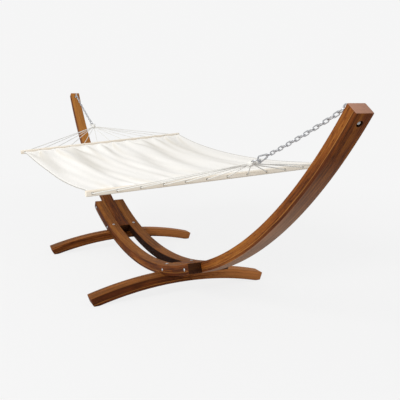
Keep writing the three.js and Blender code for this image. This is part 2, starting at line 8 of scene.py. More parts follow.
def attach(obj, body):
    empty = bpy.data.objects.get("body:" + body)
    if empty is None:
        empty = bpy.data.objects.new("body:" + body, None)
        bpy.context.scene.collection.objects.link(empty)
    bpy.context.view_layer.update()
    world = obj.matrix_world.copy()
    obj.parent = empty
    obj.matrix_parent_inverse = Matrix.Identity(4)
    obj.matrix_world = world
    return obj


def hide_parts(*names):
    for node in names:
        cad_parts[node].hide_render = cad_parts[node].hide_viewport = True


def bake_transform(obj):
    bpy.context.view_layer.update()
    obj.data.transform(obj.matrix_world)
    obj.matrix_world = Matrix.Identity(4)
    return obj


print("loading the frame")
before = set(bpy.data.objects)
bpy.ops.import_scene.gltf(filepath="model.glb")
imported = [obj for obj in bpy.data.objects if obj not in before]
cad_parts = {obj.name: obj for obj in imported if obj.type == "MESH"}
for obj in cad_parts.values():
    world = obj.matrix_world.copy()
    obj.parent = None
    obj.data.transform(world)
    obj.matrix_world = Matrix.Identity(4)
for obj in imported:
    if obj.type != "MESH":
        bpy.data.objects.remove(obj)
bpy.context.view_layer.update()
sideways = Vector((0, 1, 0))
turnHalf = Matrix.Rotation(pi, 4, "Z")  # the rear half is the front half turned half a turn
endNames = ("front", "rear")

# Camera, fitted to the photo. Pixels are those of a 400 pixel frame.
cameraView = {
    "place": (3.5374, -1.3256, 1.2337),
    "yaw": 0.4533,
    "pitch": 0.2011,
    "roll": 0.0096,
    "focalPixels": 544.16,
    "centrePixel": (198.32, 201.62),
    "framePixels": 400,
    "sensor": 36,
}


def makeObject(name, data):
    made = bpy.data.objects.new(name, data)
    bpy.context.scene.collection.objects.link(made)
    return made


def addCamera(view):
    data = bpy.data.cameras.new("camera")
    camera = makeObject("camera", data)
    flat = cos(view["pitch"])
    forward = Vector((-cos(view["yaw"]) * flat, sin(view["yaw"]) * flat, -sin(view["pitch"])))
    level = forward.cross(Vector((0, 0, 1))).normalized()
    upright = level.cross(forward)
    right = level * cos(view["roll"]) + upright * sin(view["roll"])
    up = upright * cos(view["roll"]) - level * sin(view["roll"])
    turn = Matrix((right, up, -forward)).transposed().to_4x4()
    camera.matrix_world = Matrix.Translation(view["place"]) @ turn
    size = view["framePixels"]
    data.sensor_width = view["sensor"]
    data.lens = view["focalPixels"] * view["sensor"] / size
    data.shift_x = (size / 2 - view["centrePixel"][0]) / size
    data.shift_y = (view["centrePixel"][1] - size / 2) / size
    data.clip_end = 200
    bpy.context.scene.camera = camera


addCamera(cameraView)


# Node trees. A Field is one output socket, and sums on fields add Math nodes.
class Field:
    def __init__(self, graph, made, output):
        self.graph = graph
        self.made = made
        self.socket = made.outputs[output] if made.outputs else None

    def out(self, output):
        return Field(self.graph, self.made, output)

    def call(self, operation, *others):
        return self.graph.maths(operation, self, *others)

    def clamped(self):
        return self.graph.maths("ADD", self, 0.0, clamp=True)

    def __add__(self, other):
        return self.call("ADD", other)

    def __sub__(self, other):
        return self.call("SUBTRACT", other)

    def __rsub__(self, other):
        return self.graph.maths("SUBTRACT", other, self)

    def __mul__(self, other):
        return self.call("MULTIPLY", other)

    def __truediv__(self, other):
        return self.call("DIVIDE", other)

    def __pow__(self, other):
        return self.call("POWER", other)


class Graph:
    def __init__(self, tree):
        self.tree = tree

    def node(self, kind, settings=None, sockets=None, output=0):
        made = self.tree.nodes.new(kind)
        for name, value in (settings or {}).items():
            setattr(made, name, value)
        for name, value in (sockets or {}).items():
            if isinstance(value, Field):
                self.tree.links.new(value.socket, made.inputs[name])
            else:
                made.inputs[name].default_value = value
        return Field(self, made, output)

    def maths(self, operation, *values, clamp=False):
        settings = {"operation": operation, "use_clamp": clamp}
        return self.node("ShaderNodeMath", settings, dict(enumerate(values)))

    def vector(self, x, y, z):
        return self.node("ShaderNodeCombineXYZ", None, {"X": x, "Y": y, "Z": z})

    def axes(self, place):
        parts = self.node("ShaderNodeSeparateXYZ", None, {0: place})
        return [parts.out(axis) for axis in "XYZ"]

    # Noise at a vector, or on three axes that are each stretched and shifted.
    def noise(self, place, scale, detail=2.0, roughness=0.5, shift=(0, 0, 0)):
        if not isinstance(place, Field):
            stretched = [axis * count for axis, count in zip(place, scale)]
            place = self.vector(*[axis + move if move else axis for axis, move in zip(stretched, shift)])
            scale = 1.0
        sockets = {"Vector": place, "Scale": scale, "Detail": detail, "Roughness": roughness}
        return self.node("ShaderNodeTexNoise", None, sockets, "Fac")

    def cells(self, place, scale=1.0):
        sockets = {"Vector": place, "Scale": scale}
        return self.node("ShaderNodeTexVoronoi", {"feature": "F1"}, sockets, "Distance")

    def steps(self, value, low, high):
        sockets = {"Value": value, "From Min": low, "From Max": high}
        return self.node("ShaderNodeMapRange", {"interpolation_type": "SMOOTHSTEP"}, sockets)


class Material(Graph):
    def __init__(self, name):
        self.material = bpy.data.materials.new(name)
        self.material.use_nodes = True
        super().__init__(self.material.node_tree)
        self.tree.nodes.clear()

    def place(self):
        return self.node("ShaderNodeTexCoord", None, None, "Object")

    def attribute(self, name, output="Fac"):
        return self.node("ShaderNodeAttribute", {"attribute_name": name}, None, output)

    def ramp(self, tone, look, stops):
        ramp = self.node("ShaderNodeValToRGB", None, {"Fac": tone.clamped()}, "Color")
        elements = ramp.made.color_ramp.elements
        elements.new(0.5)
        for element, (name, place) in zip(elements, stops.items()):
            element.position = place
            element.color = (*look[name], 1)
        return ramp

    # Lays coats of the look's colours over the first, each by its own share.
    def coats(self, colour, look, coats):
        for name, share in coats:
            sockets = {0: share, 6: colour, 7: (*look[name], 1)}
            colour = self.node("ShaderNodeMix", {"data_type": "RGBA"}, sockets, 2)
        return colour

    def finish(self, colour, rough, height, depth, strength, constant):
        sockets = {"Height": height, "Distance": depth, "Strength": strength}
        bump = self.node("ShaderNodeBump", None, sockets)
        varying = {"Base Color": colour, "Roughness": rough.clamped(), "Normal": bump}
        shader = self.node("ShaderNodeBsdfPrincipled", None, {**constant, **varying})
        self.node("ShaderNodeOutputMaterial", None, {"Surface": shader})
        return self.material


# The curved stand. All lengths are in metres.
stand = {
    "arcRadius": 2.527,
    "arcLift": 0.0575,
    "beamDepth": 0.061,
    "beamWidth": 0.083,
    "railLength": 1.95,
    "armLength": 1.91,
    "armLap": 0.44,
    "gap": 0.0003,
    "edgeRadius": 0.0048,
    "edgeSegments": 3,
    "steps": 97,
    "sideBoltInset": 0.05,
    "eyeFromTip": 0.046,
    "counterboreRadius": 0.013,
    "counterboreDepth": 0.014,
}
feet = {
    "x": 0.565,
    "length": 1.146,
    "width": 0.092,
    "depth": 0.061,
    "land": 0.042,
    "cutterRoom": 0.02,
    "cutterTop": 0.3,
    "edgeRadius": 0.0045,
    "steps": 81,
}
gap = stand["gap"]
arcRadius = stand["arcRadius"]
innerRadius = arcRadius - stand["beamDepth"] / 2
outerRadius = arcRadius + stand["beamDepth"] / 2
arcCentreZ = outerRadius + stand["arcLift"]
railEnd = stand["railLength"] / 2 / arcRadius
armStart = railEnd - stand["armLap"] / arcRadius
armEnd = armStart + stand["armLength"] / arcRadius
eyeAngle = armEnd - stand["eyeFromTip"] / arcRadius
boltInset = stand["sideBoltInset"] / arcRadius
sideBoltAngles = [armStart + boltInset, railEnd - boltInset]
halfBeam = stand["beamWidth"] / 2
railY = stand["beamWidth"] + gap
frameHalfWidth = railY + halfBeam
eyeSeat = outerRadius - stand["counterboreDepth"]
footAngle = asin(feet["x"] / outerRadius)


def undersideAt(x):
    return arcCentreZ - sqrt(outerRadius**2 - x**2)


footRise = undersideAt(feet["x"] + feet["width"] / 2) - feet["depth"]
landY = feet["length"] / 2 - feet["land"]
soleRadius = (landY**2 + footRise**2) / (2 * footRise)
footCentreZ = footRise - soleRadius
footEndAngle = asin(feet["length"] / 2 / (soleRadius + feet["depth"] / 2))
footGrip = (undersideAt(feet["x"]) - footRise) / cos(footAngle) - stand["counterboreDepth"]
footNutSeat = outerRadius + gap + footGrip


def onArc(radius, angle, y=0.0):
    return Vector((radius * sin(angle), y, arcCentreZ - radius * cos(angle)))


def awayFromCentre(angle):
    return Vector((sin(angle), 0, -cos(angle)))


print("mixing the finishes")
stain = {
    "deep": (0.058, 0.0145, 0.0034),
    "middle": (0.186, 0.053, 0.0085),
    "light": (0.350, 0.130, 0.0215),
    "red": (0.140, 0.030, 0.0065),
    "gold": (0.480, 0.205, 0.047),
    # The arms' end grain, partly the wood's own colour and partly a painted sheen.
    "endGrainSheen": (0.430, 0.235, 0.165),
    # Painted shade, near black: for the arms' inner ends, the rails' ends and the rails' inner sides in
    # the slot.
    "shaded": (0.012, 0.0045, 0.0024),
    # Painted sheen: a light colour on the back faces that stands in for a reflection of the floor.
    "paintedSheen": (0.500, 0.330, 0.235),
    # Painted shade for the counterbores.
    "boreShade": (0.018, 0.007, 0.003),  # inside the counterbores
    "layer": 0.0203,  # thickness of one bent board
    "seam": (0.012, 0.06),
    "knot": (0.05, 0.17),
    "halo": (0.10, 0.42),
    "skin": (0.0006, 0.0042),  # depth in which a face's own coat fades
    "rimBlur": (-0.0002, 0.0012),
    "endBlur": (0.0004, 0.0026),
    "lapEnd": (1.00, 1.22),
    "sideFrom": (0.975, 0.998),  # shares of the half width, as are the next three
    "edgeFrom": (0.80, 0.99),
    "rimFrom": (0.94, 0.985),
    "innerFrom": (0.99, 0.95),
    "vein": (0.02, 0.14),
    "veinAt": 2.14,  # in layers
    "outerFrom": (2.22, 2.42),
    "gloss": 0.58,
    # Painted light that makes the inner faces lighter and golder.
    "paintedInnerLight": 0.3,
    # Painted shade that darkens the side faces.
    "side": 0.0,
    # Painted light that makes the feet lighter towards one end.
    "paintedLightSlope": 0.0,
    "lap": 0.0,
    # Painted shade on the rails' inner sides in the slot.
    "slotShade": 0.0,
    "sheenShare": 0.0,
    "sheenStart": 2.25,
    "sheenLength": 0.55,
}
# The grain's noises: counts per metre along, across and in depth, then detail, roughness and shift.
grainNoises = {
    "slow": ((1.7, 11, 14),),
    "flame": ((8.0, 26, 30),),
    "pores": ((14, 420, 420), 2.0, 0.7),
    "cloud": ((2.4, 7, 7),),
}
driftedNoises = {
    "fibre": ((3.2, 95, 120), 5.0, 0.62),
    "broad": ((1.1, 26, 32), 3.0, 0.55, (0, 9.7, 2.0)),
    "fleck": ((26, 210, 210), 2.0, 0.6),
}
grainWeights = {"fibre": 1.5, "broad": 0.85, "cloud": 0.8, "board": 0.22}
drifts = {"slow": 0.016, "flame": 0.008}


# Grain coordinates: run along the boards, across their width, and depth through the layers.
def arcGrain(paint):
    x, y, z = paint.axes(paint.place())
    drop = arcCentreZ - z
    return x.call("ARCTAN2", drop) * arcRadius, y, (x**2 + drop**2).call("SQRT") - innerRadius


def footGrain(paint):
    x, y, z = paint.axes(paint.place())
    rise = z - footCentreZ
    radius = (y**2 + rise**2).call("SQRT")
    return y.call("ARCTAN2", rise) * soleRadius, x, soleRadius + feet["depth"] - radius


def stainedWood(name, grain, middleAcross, halfWidth, tips, bores, own):
    look = {**stain, **own}
    paint = Material(name)
    run, across, depth = grain(paint)
    noises = {key: paint.noise((run, across, depth), *kind) for key, kind in grainNoises.items()}
    drift = (noises["slow"] - 0.5) * drifts["slow"] + (noises["flame"] - 0.5) * drifts["flame"]
    for key, kind in driftedNoises.items():
        noises[key] = paint.noise((run, across + drift, depth + drift), *kind)
    fibre, broad, pores = noises["fibre"], noises["broad"], noises["pores"]

    layers = (depth + drift * 0.42) / look["layer"]
    fromSeam = ((layers - 1.5).call("ABSOLUTE") - 0.5).call("ABSOLUTE")  # seams lie at 1 and 2
    seam = 1 - paint.steps(fromSeam, *look["seam"])
    seed = layers.call("FLOOR") + across.call("SIGN") * 3 + run.call("SIGN") * 5
    settings = {"noise_dimensions": "1D"}
    noises["board"] = paint.node("ShaderNodeTexWhiteNoise", settings, {"W": seed}, "Value")
    cells = paint.cells(paint.vector(run * 2.6, across * 13, depth * 15 + noises["board"] * 3))
    knot = 1 - paint.steps(cells, *look["knot"])
    halo = 1 - paint.steps(cells, *look["halo"])

    fromMiddle = run.call("ABSOLUTE")
    lapped = (1 - paint.steps(fromMiddle, *look["lapEnd"])) * look["lap"]
    flat = 1 - paint.steps(depth, *look["skin"])
    onBack = 1 - paint.steps(stand["beamDepth"] - depth, *look["skin"])
    edgeAcross = (across.call("ABSOLUTE") - middleAcross).call("ABSOLUTE") / halfWidth
    onSide = paint.steps(edgeAcross, *look["sideFrom"])
    # Painted light: the inner face is made lighter and golder for the light that falls on it.
    paintedInnerLight = flat * look["paintedInnerLight"] * (1 - lapped)
    # Painted shade darkens the side faces for the light they miss.
    tone = paintedInnerLight * 0.2 + run.call("MAXIMUM", -0.08) * look["paintedLightSlope"] - onSide * look["side"]
    tone = tone + 0.48 - lapped * 0.05 - (noises["fleck"] - 0.56).clamped() * 2.4
    for key, weight in grainWeights.items():
        tone = tone + (noises[key] - 0.5) * weight
    edge = paint.steps(edgeAcross, *look["edgeFrom"]) * (1 - onSide)
    vein = 1 - paint.steps((layers - look["veinAt"]).call("ABSOLUTE"), *look["vein"])
    outer = paint.steps(layers, *look["outerFrom"]) * onSide
    rim = paint.steps(edgeAcross, *look["rimFrom"]) * (1 - onSide) * (1 - onBack)
    # Painted sheen on the back face, fading out towards the tips.
    paintedSheen = onBack * ((look["sheenStart"] - fromMiddle) / look["sheenLength"]).clamped() * look["sheenShare"]
    # Painted shade on the rails' inner sides, which face the slot.
    inward = [middleAcross - halfWidth * share for share in look["innerFrom"]]
    innerSide = 1 - paint.steps(across.call("ABSOLUTE"), *inward)
    coats = [
        ("red", (broad - 0.35).clamped() * 0.55),
        ("red", edge * 0.35),
        ("red", halo * 0.40),
        ("deep", knot * 0.85),
        ("deep", seam * 0.45),
        ("deep", (pores - 0.52).clamped() * 1.6),
        ("gold", paintedInnerLight * (fibre * 0.9 + 0.2).clamped()),
        ("gold", vein * onSide * (fibre * 1.6 - 0.2).clamped() * 0.8),
        ("deep", outer * 0.20),
        ("deep", rim * (lapped * 0.4 + 0.5)),
        ("paintedSheen", paintedSheen * (fibre * 0.6 + 0.7)),
        ("shaded", innerSide * look["slotShade"]),
    ]
    for end, shade in tips:
        atEnd = 1 - paint.steps((fromMiddle - end).call("ABSOLUTE"), *look["endBlur"])
        coats.append((shade, atEnd * 0.85))
    # Painted shade inside the counterbores.
    for bore in bores:
        off = ((run - bore) ** 2 + across**2).call("SQRT")
        sunk = 1 - paint.steps(off - stand["counterboreRadius"], *look["rimBlur"])
        coats.append(("boreShade", sunk * 0.94))
    colour = paint.ramp(tone, look, {"deep": 0.16, "middle": 0.48, "light": 0.86})
    rough = (fibre - 0.5) * 0.22 + (pores - 0.5) * 0.12 + look["gloss"]
    height = fibre * 0.5 + pores * 0.35 - seam * 0.5 - knot * 0.3
    shaded = paint.coats(colour, look, coats)
    return paint.finish(shaded, rough, height, 0.0009, 0.7, {"Specular IOR Level": 0.09})


# The arms' inner ends, inside the slot, get painted shade.
armTips = [(armEnd * arcRadius, "endGrainSheen"), (armStart * arcRadius, "shaded")]
eyeBores = [side * eyeAngle * arcRadius for side in (-1, 1)]
armWood = stainedWood("armWood", arcGrain, 0.0, halfBeam, armTips, eyeBores,
                      {"paintedInnerLight": 0.85, "lap": 1.0, "sheenShare": 0.50})
railWood = stainedWood("railWood", arcGrain, railY, halfBeam, [(railEnd * arcRadius, "shaded")], [],
                       {"side": 0.26, "slotShade": 0.9})
footWood = stainedWood("footWood", footGrain, feet["x"], feet["width"] / 2, [], [],
                       {"side": 0.08, "paintedLightSlope": 1.6, "light": (0.530, 0.200, 0.058)})

bare = {
    "light": (0.90, 0.84, 0.74),
    "middle": (0.83, 0.75, 0.63),
    "dark": (0.58, 0.49, 0.37),
}
# Painted shade: dark wood for the walls of the bars' holes.
holeShadeWood = {
    "light": (0.16, 0.12, 0.08),
    "middle": (0.10, 0.07, 0.05),
    "dark": (0.05, 0.035, 0.025),
}


def bareWood(name, look):
    paint = Material(name)
    x, y, z = paint.axes(paint.place())
    slow = paint.noise((x, y, z), (20, 2.5, 20))
    drift = (slow - 0.5) * 0.01
    fibre = paint.noise((x + drift, y, z + drift), (170, 4.5, 170), 4.0, 0.6)
    pores = paint.noise((x, y, z), (700, 26, 700), 2.0, 0.6)
    tone = fibre * 0.7 + slow * 0.45 - 0.03
    colour = paint.ramp(tone, look, {"dark": 0.22, "middle": 0.46, "light": 0.74})
    colour = paint.coats(colour, look, [("dark", (pores - 0.55).clamped() * 0.9)])
    rough = (fibre - 0.5) * 0.2 + 0.5
    height = fibre * 0.5 + pores * 0.5
    return paint.finish(colour, rough, height, 0.0004, 0.6, {"Specular IOR Level": 0.35})


steel = {
    "bright": (0.80, 0.81, 0.83),
    "dull": (0.48, 0.49, 0.51),
}
# Painted shade: a near black steel for the washers that sit in the counterbores.
sunkSteel = {
    "bright": (0.050, 0.045, 0.040),
    "dull": (0.020, 0.018, 0.016),
}


def zincSteel(name, look):
    paint = Material(name)
    place = paint.place()
    patch = paint.noise(place, 95.0, 3.0, 0.6)
    grit = paint.noise(place, 900.0, 2.0, 0.6)
    spangle = paint.cells(place, 260.0)
    share = (patch * 0.8 + spangle * 0.5 - 0.2).clamped()
    colour = paint.coats((*look["dull"], 1), look, [("bright", share)])
    rough = patch * 0.22 + grit * 0.08 + 0.26
    return paint.finish(colour, rough, grit * 0.6 + spangle * 0.4, 0.0002, 0.35, {"Metallic": 1.0})


cloth = {
    "cream": (0.935, 0.912, 0.865),
    "ivory": (0.950, 0.935, 0.905),
    "shade": (0.800, 0.755, 0.680),
    # Painted shade colour for the steep sides of folds.
    "fold": (0.700, 0.655, 0.565),
    "yarn": 0.0013,  # width of one yarn
}
# Painted shade: the side rolls are coloured dark grey for the shade under the rolled edges.
edgeCloth = {
    **cloth,
    "cream": (0.46, 0.44, 0.40),
    "ivory": (0.52, 0.50, 0.46),
    "shade": (0.33, 0.31, 0.28),
    "fold": (0.33, 0.31, 0.28),
}


# The weave follows the cut sheet, whose flat metres are in the UV map.
def canvasCloth(name, look):
    paint = Material(name)
    u, v = paint.axes(paint.node("ShaderNodeUVMap", {"uv_map": "cut"}))[:2]
    turns = pi / look["yarn"]
    weave = (u * turns).call("SINE") * (v * turns).call("SINE") * 0.5 + 0.5
    slubs = paint.noise((u, v, 0.0), (900, 18, 1), 2.0, 0.6)
    slubsAcross = paint.noise((u, v, 7.0), (18, 900, 1), 2.0, 0.6)
    cloud = paint.noise((u, v, 3.0), (3.0, 2.0, 1), 3.0)
    foldShade = paint.attribute("foldShade")
    colour = paint.coats((*look["cream"], 1), look, [
        ("ivory", (cloud * 1.4 - 0.2).clamped()),
        ("shade", (slubs * 0.5 + slubsAcross * 0.5 - 0.46).clamped() * 1.1),
        ("shade", (1 - weave) * 0.10),
        # Painted shade along the steep sides of the folds and tucks.
        ("fold", (foldShade * (cloud * 0.6 + 0.5)).clamped()),
    ])
    rough = (slubs - 0.5) * 0.15 + 0.84
    height = weave * 0.6 + slubs * 0.3 + slubsAcross * 0.3
    constant = {"Specular IOR Level": 0.15, "Sheen Weight": 0.12, "Sheen Roughness": 0.5}
    return paint.finish(colour, rough, height, 0.0005, 0.5, constant)


rope = {
    "pale": (0.87, 0.86, 0.82),
    "shade": (0.55, 0.53, 0.48),
    "strands": 4,
    "lay": 0.011,  # length of one turn of the braid
}
# Painted shade: the knots are coloured dark for the shade they sit in below the bar.
knotShadeRope = {
    **rope,
    "pale": (0.30, 0.28, 0.24),
    "shade": (0.12, 0.11, 0.09),
}


# A braid from two sets of strands that cross. Tubes carry their own length and the way round.
def cordRope(name, look):
    paint = Material(name)
    x, y = paint.axes(paint.attribute("around", "Vector"))[:2]
    turn = y.call("ARCTAN2", x) * look["strands"]
    run = paint.attribute("along") * (4 * pi / look["lay"])
    braid = (turn + run).call("SINE").call("MAXIMUM", (turn - run).call("SINE")) * 0.5 + 0.5
    fuzz = paint.noise(paint.place(), 1400.0, 2.0, 0.6)
    share = ((1 - braid) * 0.75 + (fuzz - 0.5) * 0.3).clamped()
    colour = paint.coats((*look["pale"], 1), look, [("shade", share)])
    rough = fuzz * 0.2 + 0.72
    return paint.finish(colour, rough, braid + fuzz * 0.3, 0.0006, 0.8, {"Specular IOR Level": 0.2})


barWood = bareWood("barWood", bare)
holeWood = bareWood("holeWood", holeShadeWood)
zinc = zincSteel("zincSteel", steel)
boreShadeZinc = zincSteel("sunkSteel", sunkSteel)
canvas = canvasCloth("canvasCloth", cloth)
shadedEdging = canvasCloth("edgeCloth", edgeCloth)
cord = cordRope("cordRope", rope)
wornCord = cordRope("wornCord", knotShadeRope)


# Geometry Nodes trees. Each has named inputs and is set by its sockets' identifiers.
class Tree(Graph):
    def __init__(self, name, floats="", ints="", objects=""):
        super().__init__(bpy.data.node_groups.new(name, "GeometryNodeTree"))
        self.identifiers = {}
        self.add("Geometry", "Geometry", "OUTPUT")
        self.add("Geometry", "Geometry")
        kinds = {"Float": floats, "Int": ints, "Object": objects, "Material": "Material"}
        for kind, labels in kinds.items():
            for label in labels.split(", ") if labels else []:
                self.add(label, kind)
        self.inputs = self.node("NodeGroupInput")

    def add(self, label, kind, way="INPUT"):
        face = self.tree.interface
        socket = face.new_socket(name=label, in_out=way, socket_type=f"NodeSocket{kind}")
        self.identifiers[label] = socket.identifier

    def value(self, label):
        return self.inputs.out(label)

    def store(self, geometry, name, kind, value):
        settings = {"data_type": kind, "domain": "POINT"}
        sockets = {"Geometry": geometry, "Name": name, "Value": value}
        return self.node("GeometryNodeStoreNamedAttribute", settings, sockets)

    def repeat(self, points, template, turn):
        sockets = {"Points": points, "Instance": template, "Rotation": turn}
        return self.node("GeometryNodeInstanceOnPoints", None, sockets)

    def finish(self, geometry, smooth=True):
        real = self.node("GeometryNodeRealizeInstances", None, {"Geometry": geometry})
        shaded = self.node("GeometryNodeSetShadeSmooth", None, {"Geometry": real, "Shade Smooth": smooth})
        sockets = {"Geometry": shaded, "Material": self.value("Material")}
        self.node("NodeGroupOutput", None, {0: self.node("GeometryNodeSetMaterial", None, sockets)})
        return self


# A board bent to an arc. Bend is 1 where the arc's centre is above it and -1 where it is below.
def bentBoardTree():
    tree = Tree("bentBoard", "Radius, Centre Height, From, To, Width, Depth, Side, Bend", "Steps")
    sockets = {"Size": (1, 1, 1), "Vertices X": tree.value("Steps")}
    box = tree.node("GeometryNodeMeshCube", None, sockets, "Mesh")
    x, y, z = tree.axes(tree.node("GeometryNodeInputPosition"))
    angle = tree.value("From") + (tree.value("To") - tree.value("From")) * (x + 0.5)
    radius = tree.value("Radius") - tree.value("Bend") * z * tree.value("Depth")
    across = tree.value("Side") + y * tree.value("Width")
    height = tree.value("Centre Height") - tree.value("Bend") * radius * angle.call("COSINE")
    moved = tree.vector(radius * angle.call("SINE"), across, height)
    bent = tree.node("GeometryNodeSetPosition", None, {"Geometry": box, "Position": moved})
    return tree.finish(bent, False)


# A round wire along every run of edges. It stores its length and the way round for the shader.
def wireTree():
    tree = Tree("roundWire", "Wire Radius", "Sides")
    line = tree.node("GeometryNodeMeshToCurve", None, {"Mesh": tree.value("Geometry")})
    run = tree.node("GeometryNodeSplineParameter", None, None, "Length")
    sockets = {"Resolution": tree.value("Sides"), "Radius": tree.value("Wire Radius")}
    circle = tree.node("GeometryNodeCurvePrimitiveCircle", {"mode": "RADIUS"}, sockets)
    place = tree.node("GeometryNodeInputPosition")
    sockets = {"Curve": tree.store(line, "along", "FLOAT", run),
               "Profile Curve": tree.store(circle, "around", "FLOAT_VECTOR", place), "Fill Caps": True}
    return tree.finish(tree.node("GeometryNodeCurveToMesh", None, sockets))


# Copies of a template on every point, turned by the point's own angles.
def repeatTree():
    tree = Tree("repeatOnPoints", objects="Template")
    template = tree.node("GeometryNodeObjectInfo", None, {"Object": tree.value("Template")}, "Geometry")
    turn = tree.node("GeometryNodeInputNamedAttribute", {"data_type": "FLOAT_VECTOR"}, {"Name": "turn"})
    return tree.finish(tree.repeat(tree.value("Geometry"), template, turn))


# Holes drilled along X through a bar, in a row along Y.
def drillTree():
    tree = Tree("drilledRow", "Pitch, Hole Radius, Through", "Count")
    first = (tree.value("Count") - 1) * tree.value("Pitch") * -0.5
    sockets = {"Count": tree.value("Count"), "Start Location": tree.vector(0.0, first, 0.0),
               "Offset": tree.vector(0.0, tree.value("Pitch"), 0.0)}
    row = tree.node("GeometryNodeMeshLine", {"mode": "OFFSET"}, sockets)
    sockets = {"Vertices": 20, "Radius": tree.value("Hole Radius"), "Depth": tree.value("Through")}
    drill = tree.node("GeometryNodeMeshCylinder", None, sockets, "Mesh")
    copies = tree.repeat(row, drill, (0, pi / 2, 0))
    sockets = {"Mesh 1": tree.value("Geometry"),
               "Mesh 2": tree.node("GeometryNodeRealizeInstances", None, {"Geometry": copies})}
    settings = {"operation": "DIFFERENCE", "solver": "EXACT"}
    return tree.finish(tree.node("GeometryNodeMeshBoolean", settings, sockets, "Mesh"))


bentBoard = bentBoardTree()
roundWire = wireTree()
repeatOnPoints = repeatTree()
drilledRow = drillTree()
softEdge = radians(38)  # edges that turn by more stay sharp


def makeMesh(name, points, edges=(), faces=()):
    mesh = bpy.data.meshes.new(name)
    mesh.from_pydata([tuple(p) for p in points], list(edges), list(faces))
    mesh.update()
    return mesh


def evaluated(piece):
    graph = bpy.context.evaluated_depsgraph_get()
    source = piece.evaluated_get(graph)
    mesh = bpy.data.meshes.new_from_object(source, preserve_all_data_layers=True, depsgraph=graph)
    piece.modifiers.clear()
    piece.data = mesh
    return piece


# Grows a mesh from a tree, and drops the modifier.
def grow(name, base, tree, values):
    piece = makeObject(name, base)
    modifier = piece.modifiers.new("grow", "NODES")
    modifier.node_group = tree.tree
    for label, value in values.items():
        modifier[tree.identifiers[label]] = value
    return evaluated(piece)


def smoothShade(mesh, angle=softEdge):
    mesh.shade_smooth()
    mesh.set_sharp_from_angle(angle=angle)


def joined(name, parts):
    work = bmesh.new()
    materials = []
    for part in parts:
        first = len(work.faces)
        work.from_mesh(part.data)
        work.faces.ensure_lookup_table()
        material = part.data.materials[0]
        if material not in materials:
            materials.append(material)
        for face in work.faces[first:]:
            face.material_index = materials.index(material)
    mesh = bpy.data.meshes.new(name)
    work.to_mesh(mesh)
    work.free()
    for material in materials:
        mesh.materials.append(material)
    for part in parts:
        bpy.data.objects.remove(part)
    return makeObject(name, mesh)


def settle(piece, body, slotName, *replaced):
    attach(piece, body)
    if replaced:
        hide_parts(*replaced)
    return piece


def placed(piece, end):
    if end == "rear":
        piece.data.transform(turnHalf)
    return piece


def wire(name, runs, radius, sides, material, closed=False):
    points = [p for run in runs for p in run]
    edges = []
    first = 0
    for run in runs:
        count = len(run)
        edges += [(first + i, first + (i + 1) % count) for i in range(count if closed else count - 1)]
        first += count
    values = {"Wire Radius": radius, "Sides": sides, "Material": material}
    return grow(name, makeMesh(name, points, edges), roundWire, values)


def repeated(name, template, places, turns, material):
    base = makeMesh(name, places)
    turn = base.attributes.new("turn", "FLOAT_VECTOR", "POINT")
    turn.data.foreach_set("vector", [angle for t in turns for angle in t])
    piece = grow(name, base, repeatOnPoints, {"Template": template, "Material": material})
    bpy.data.objects.remove(template)
    return piece


def arcOf(first, sweep, steps):
    return [first + sweep * k / steps for k in range(steps + 1)]


def aimed(start, direction):
    return Matrix.Translation(start) @ direction.to_track_quat("Z", "Y").to_matrix().to_4x4()


# A profile of (radius, height) pairs turned about Z. A radius of 0 closes the end with a pole.
def turned(name, profile, sides, material, place=Matrix(), angle=softEdge):
    points = []
    rings = []
    for radius, height in profile:
        if radius == 0:
            rings.append([len(points)] * sides)
            points.append((0, 0, height))
            continue
        rings.append([len(points) + k for k in range(sides)])
        angles = arcOf(0, 2 * pi, sides)[:-1]
        points += [(radius * cos(a), radius * sin(a), height) for a in angles]
    faces = []
    for low, high in zip(rings, rings[1:]):
        for k in range(sides):
            n = (k + 1) % sides
            faces.append(tuple(dict.fromkeys([low[k], low[n], high[n], high[k]])))
    mesh = makeMesh(name, points, (), faces)
    mesh.materials.append(material)
    mesh.transform(place)
    smoothShade(mesh, angle)
    return makeObject(name, mesh)


def cylinder(start, end, radius):
    run = end - start
    profile = [(0, 0), (radius, 0), (radius, run.length), (0, run.length)]
    return turned("bore", profile, 48, zinc, aimed(start, run))


# The profile of a disc with softened edges. Without a foot its lower edge stays sharp.
def disc(radius, low, high, edge, foot=True):
    start = [(radius - edge, low), (radius, low + edge)] if foot else [(radius, low)]
    return [(0, low), *start, (radius, high - edge), (radius - edge, high), (0, high)]


# A closed mesh through rows of points, with a face over each end.
def skinned(name, rows):
    count = len(rows[0])
    points = [point for row in rows for point in row]
    faces = [tuple(range(count)), tuple(reversed(range(len(points) - count, len(points))))]
    for first in range(0, len(points) - count, count):
        for k in range(count):
            n = (k + 1) % count
            faces.append((first + k, first + k + count, first + n + count, first + n))
    mesh = makeMesh(name, points, (), faces)
    work = bmesh.new()
    work.from_mesh(mesh)
    bmesh.ops.recalc_face_normals(work, faces=work.faces)
    work.to_mesh(mesh)
    work.free()
    return mesh


def roundEdges(piece, width, segments, limit):
    rounded = piece.modifiers.new("edges", "BEVEL")
    rounded.width = width
    rounded.segments = segments
    rounded.limit_method = "ANGLE"
    rounded.angle_limit = limit


print("bending the stand")


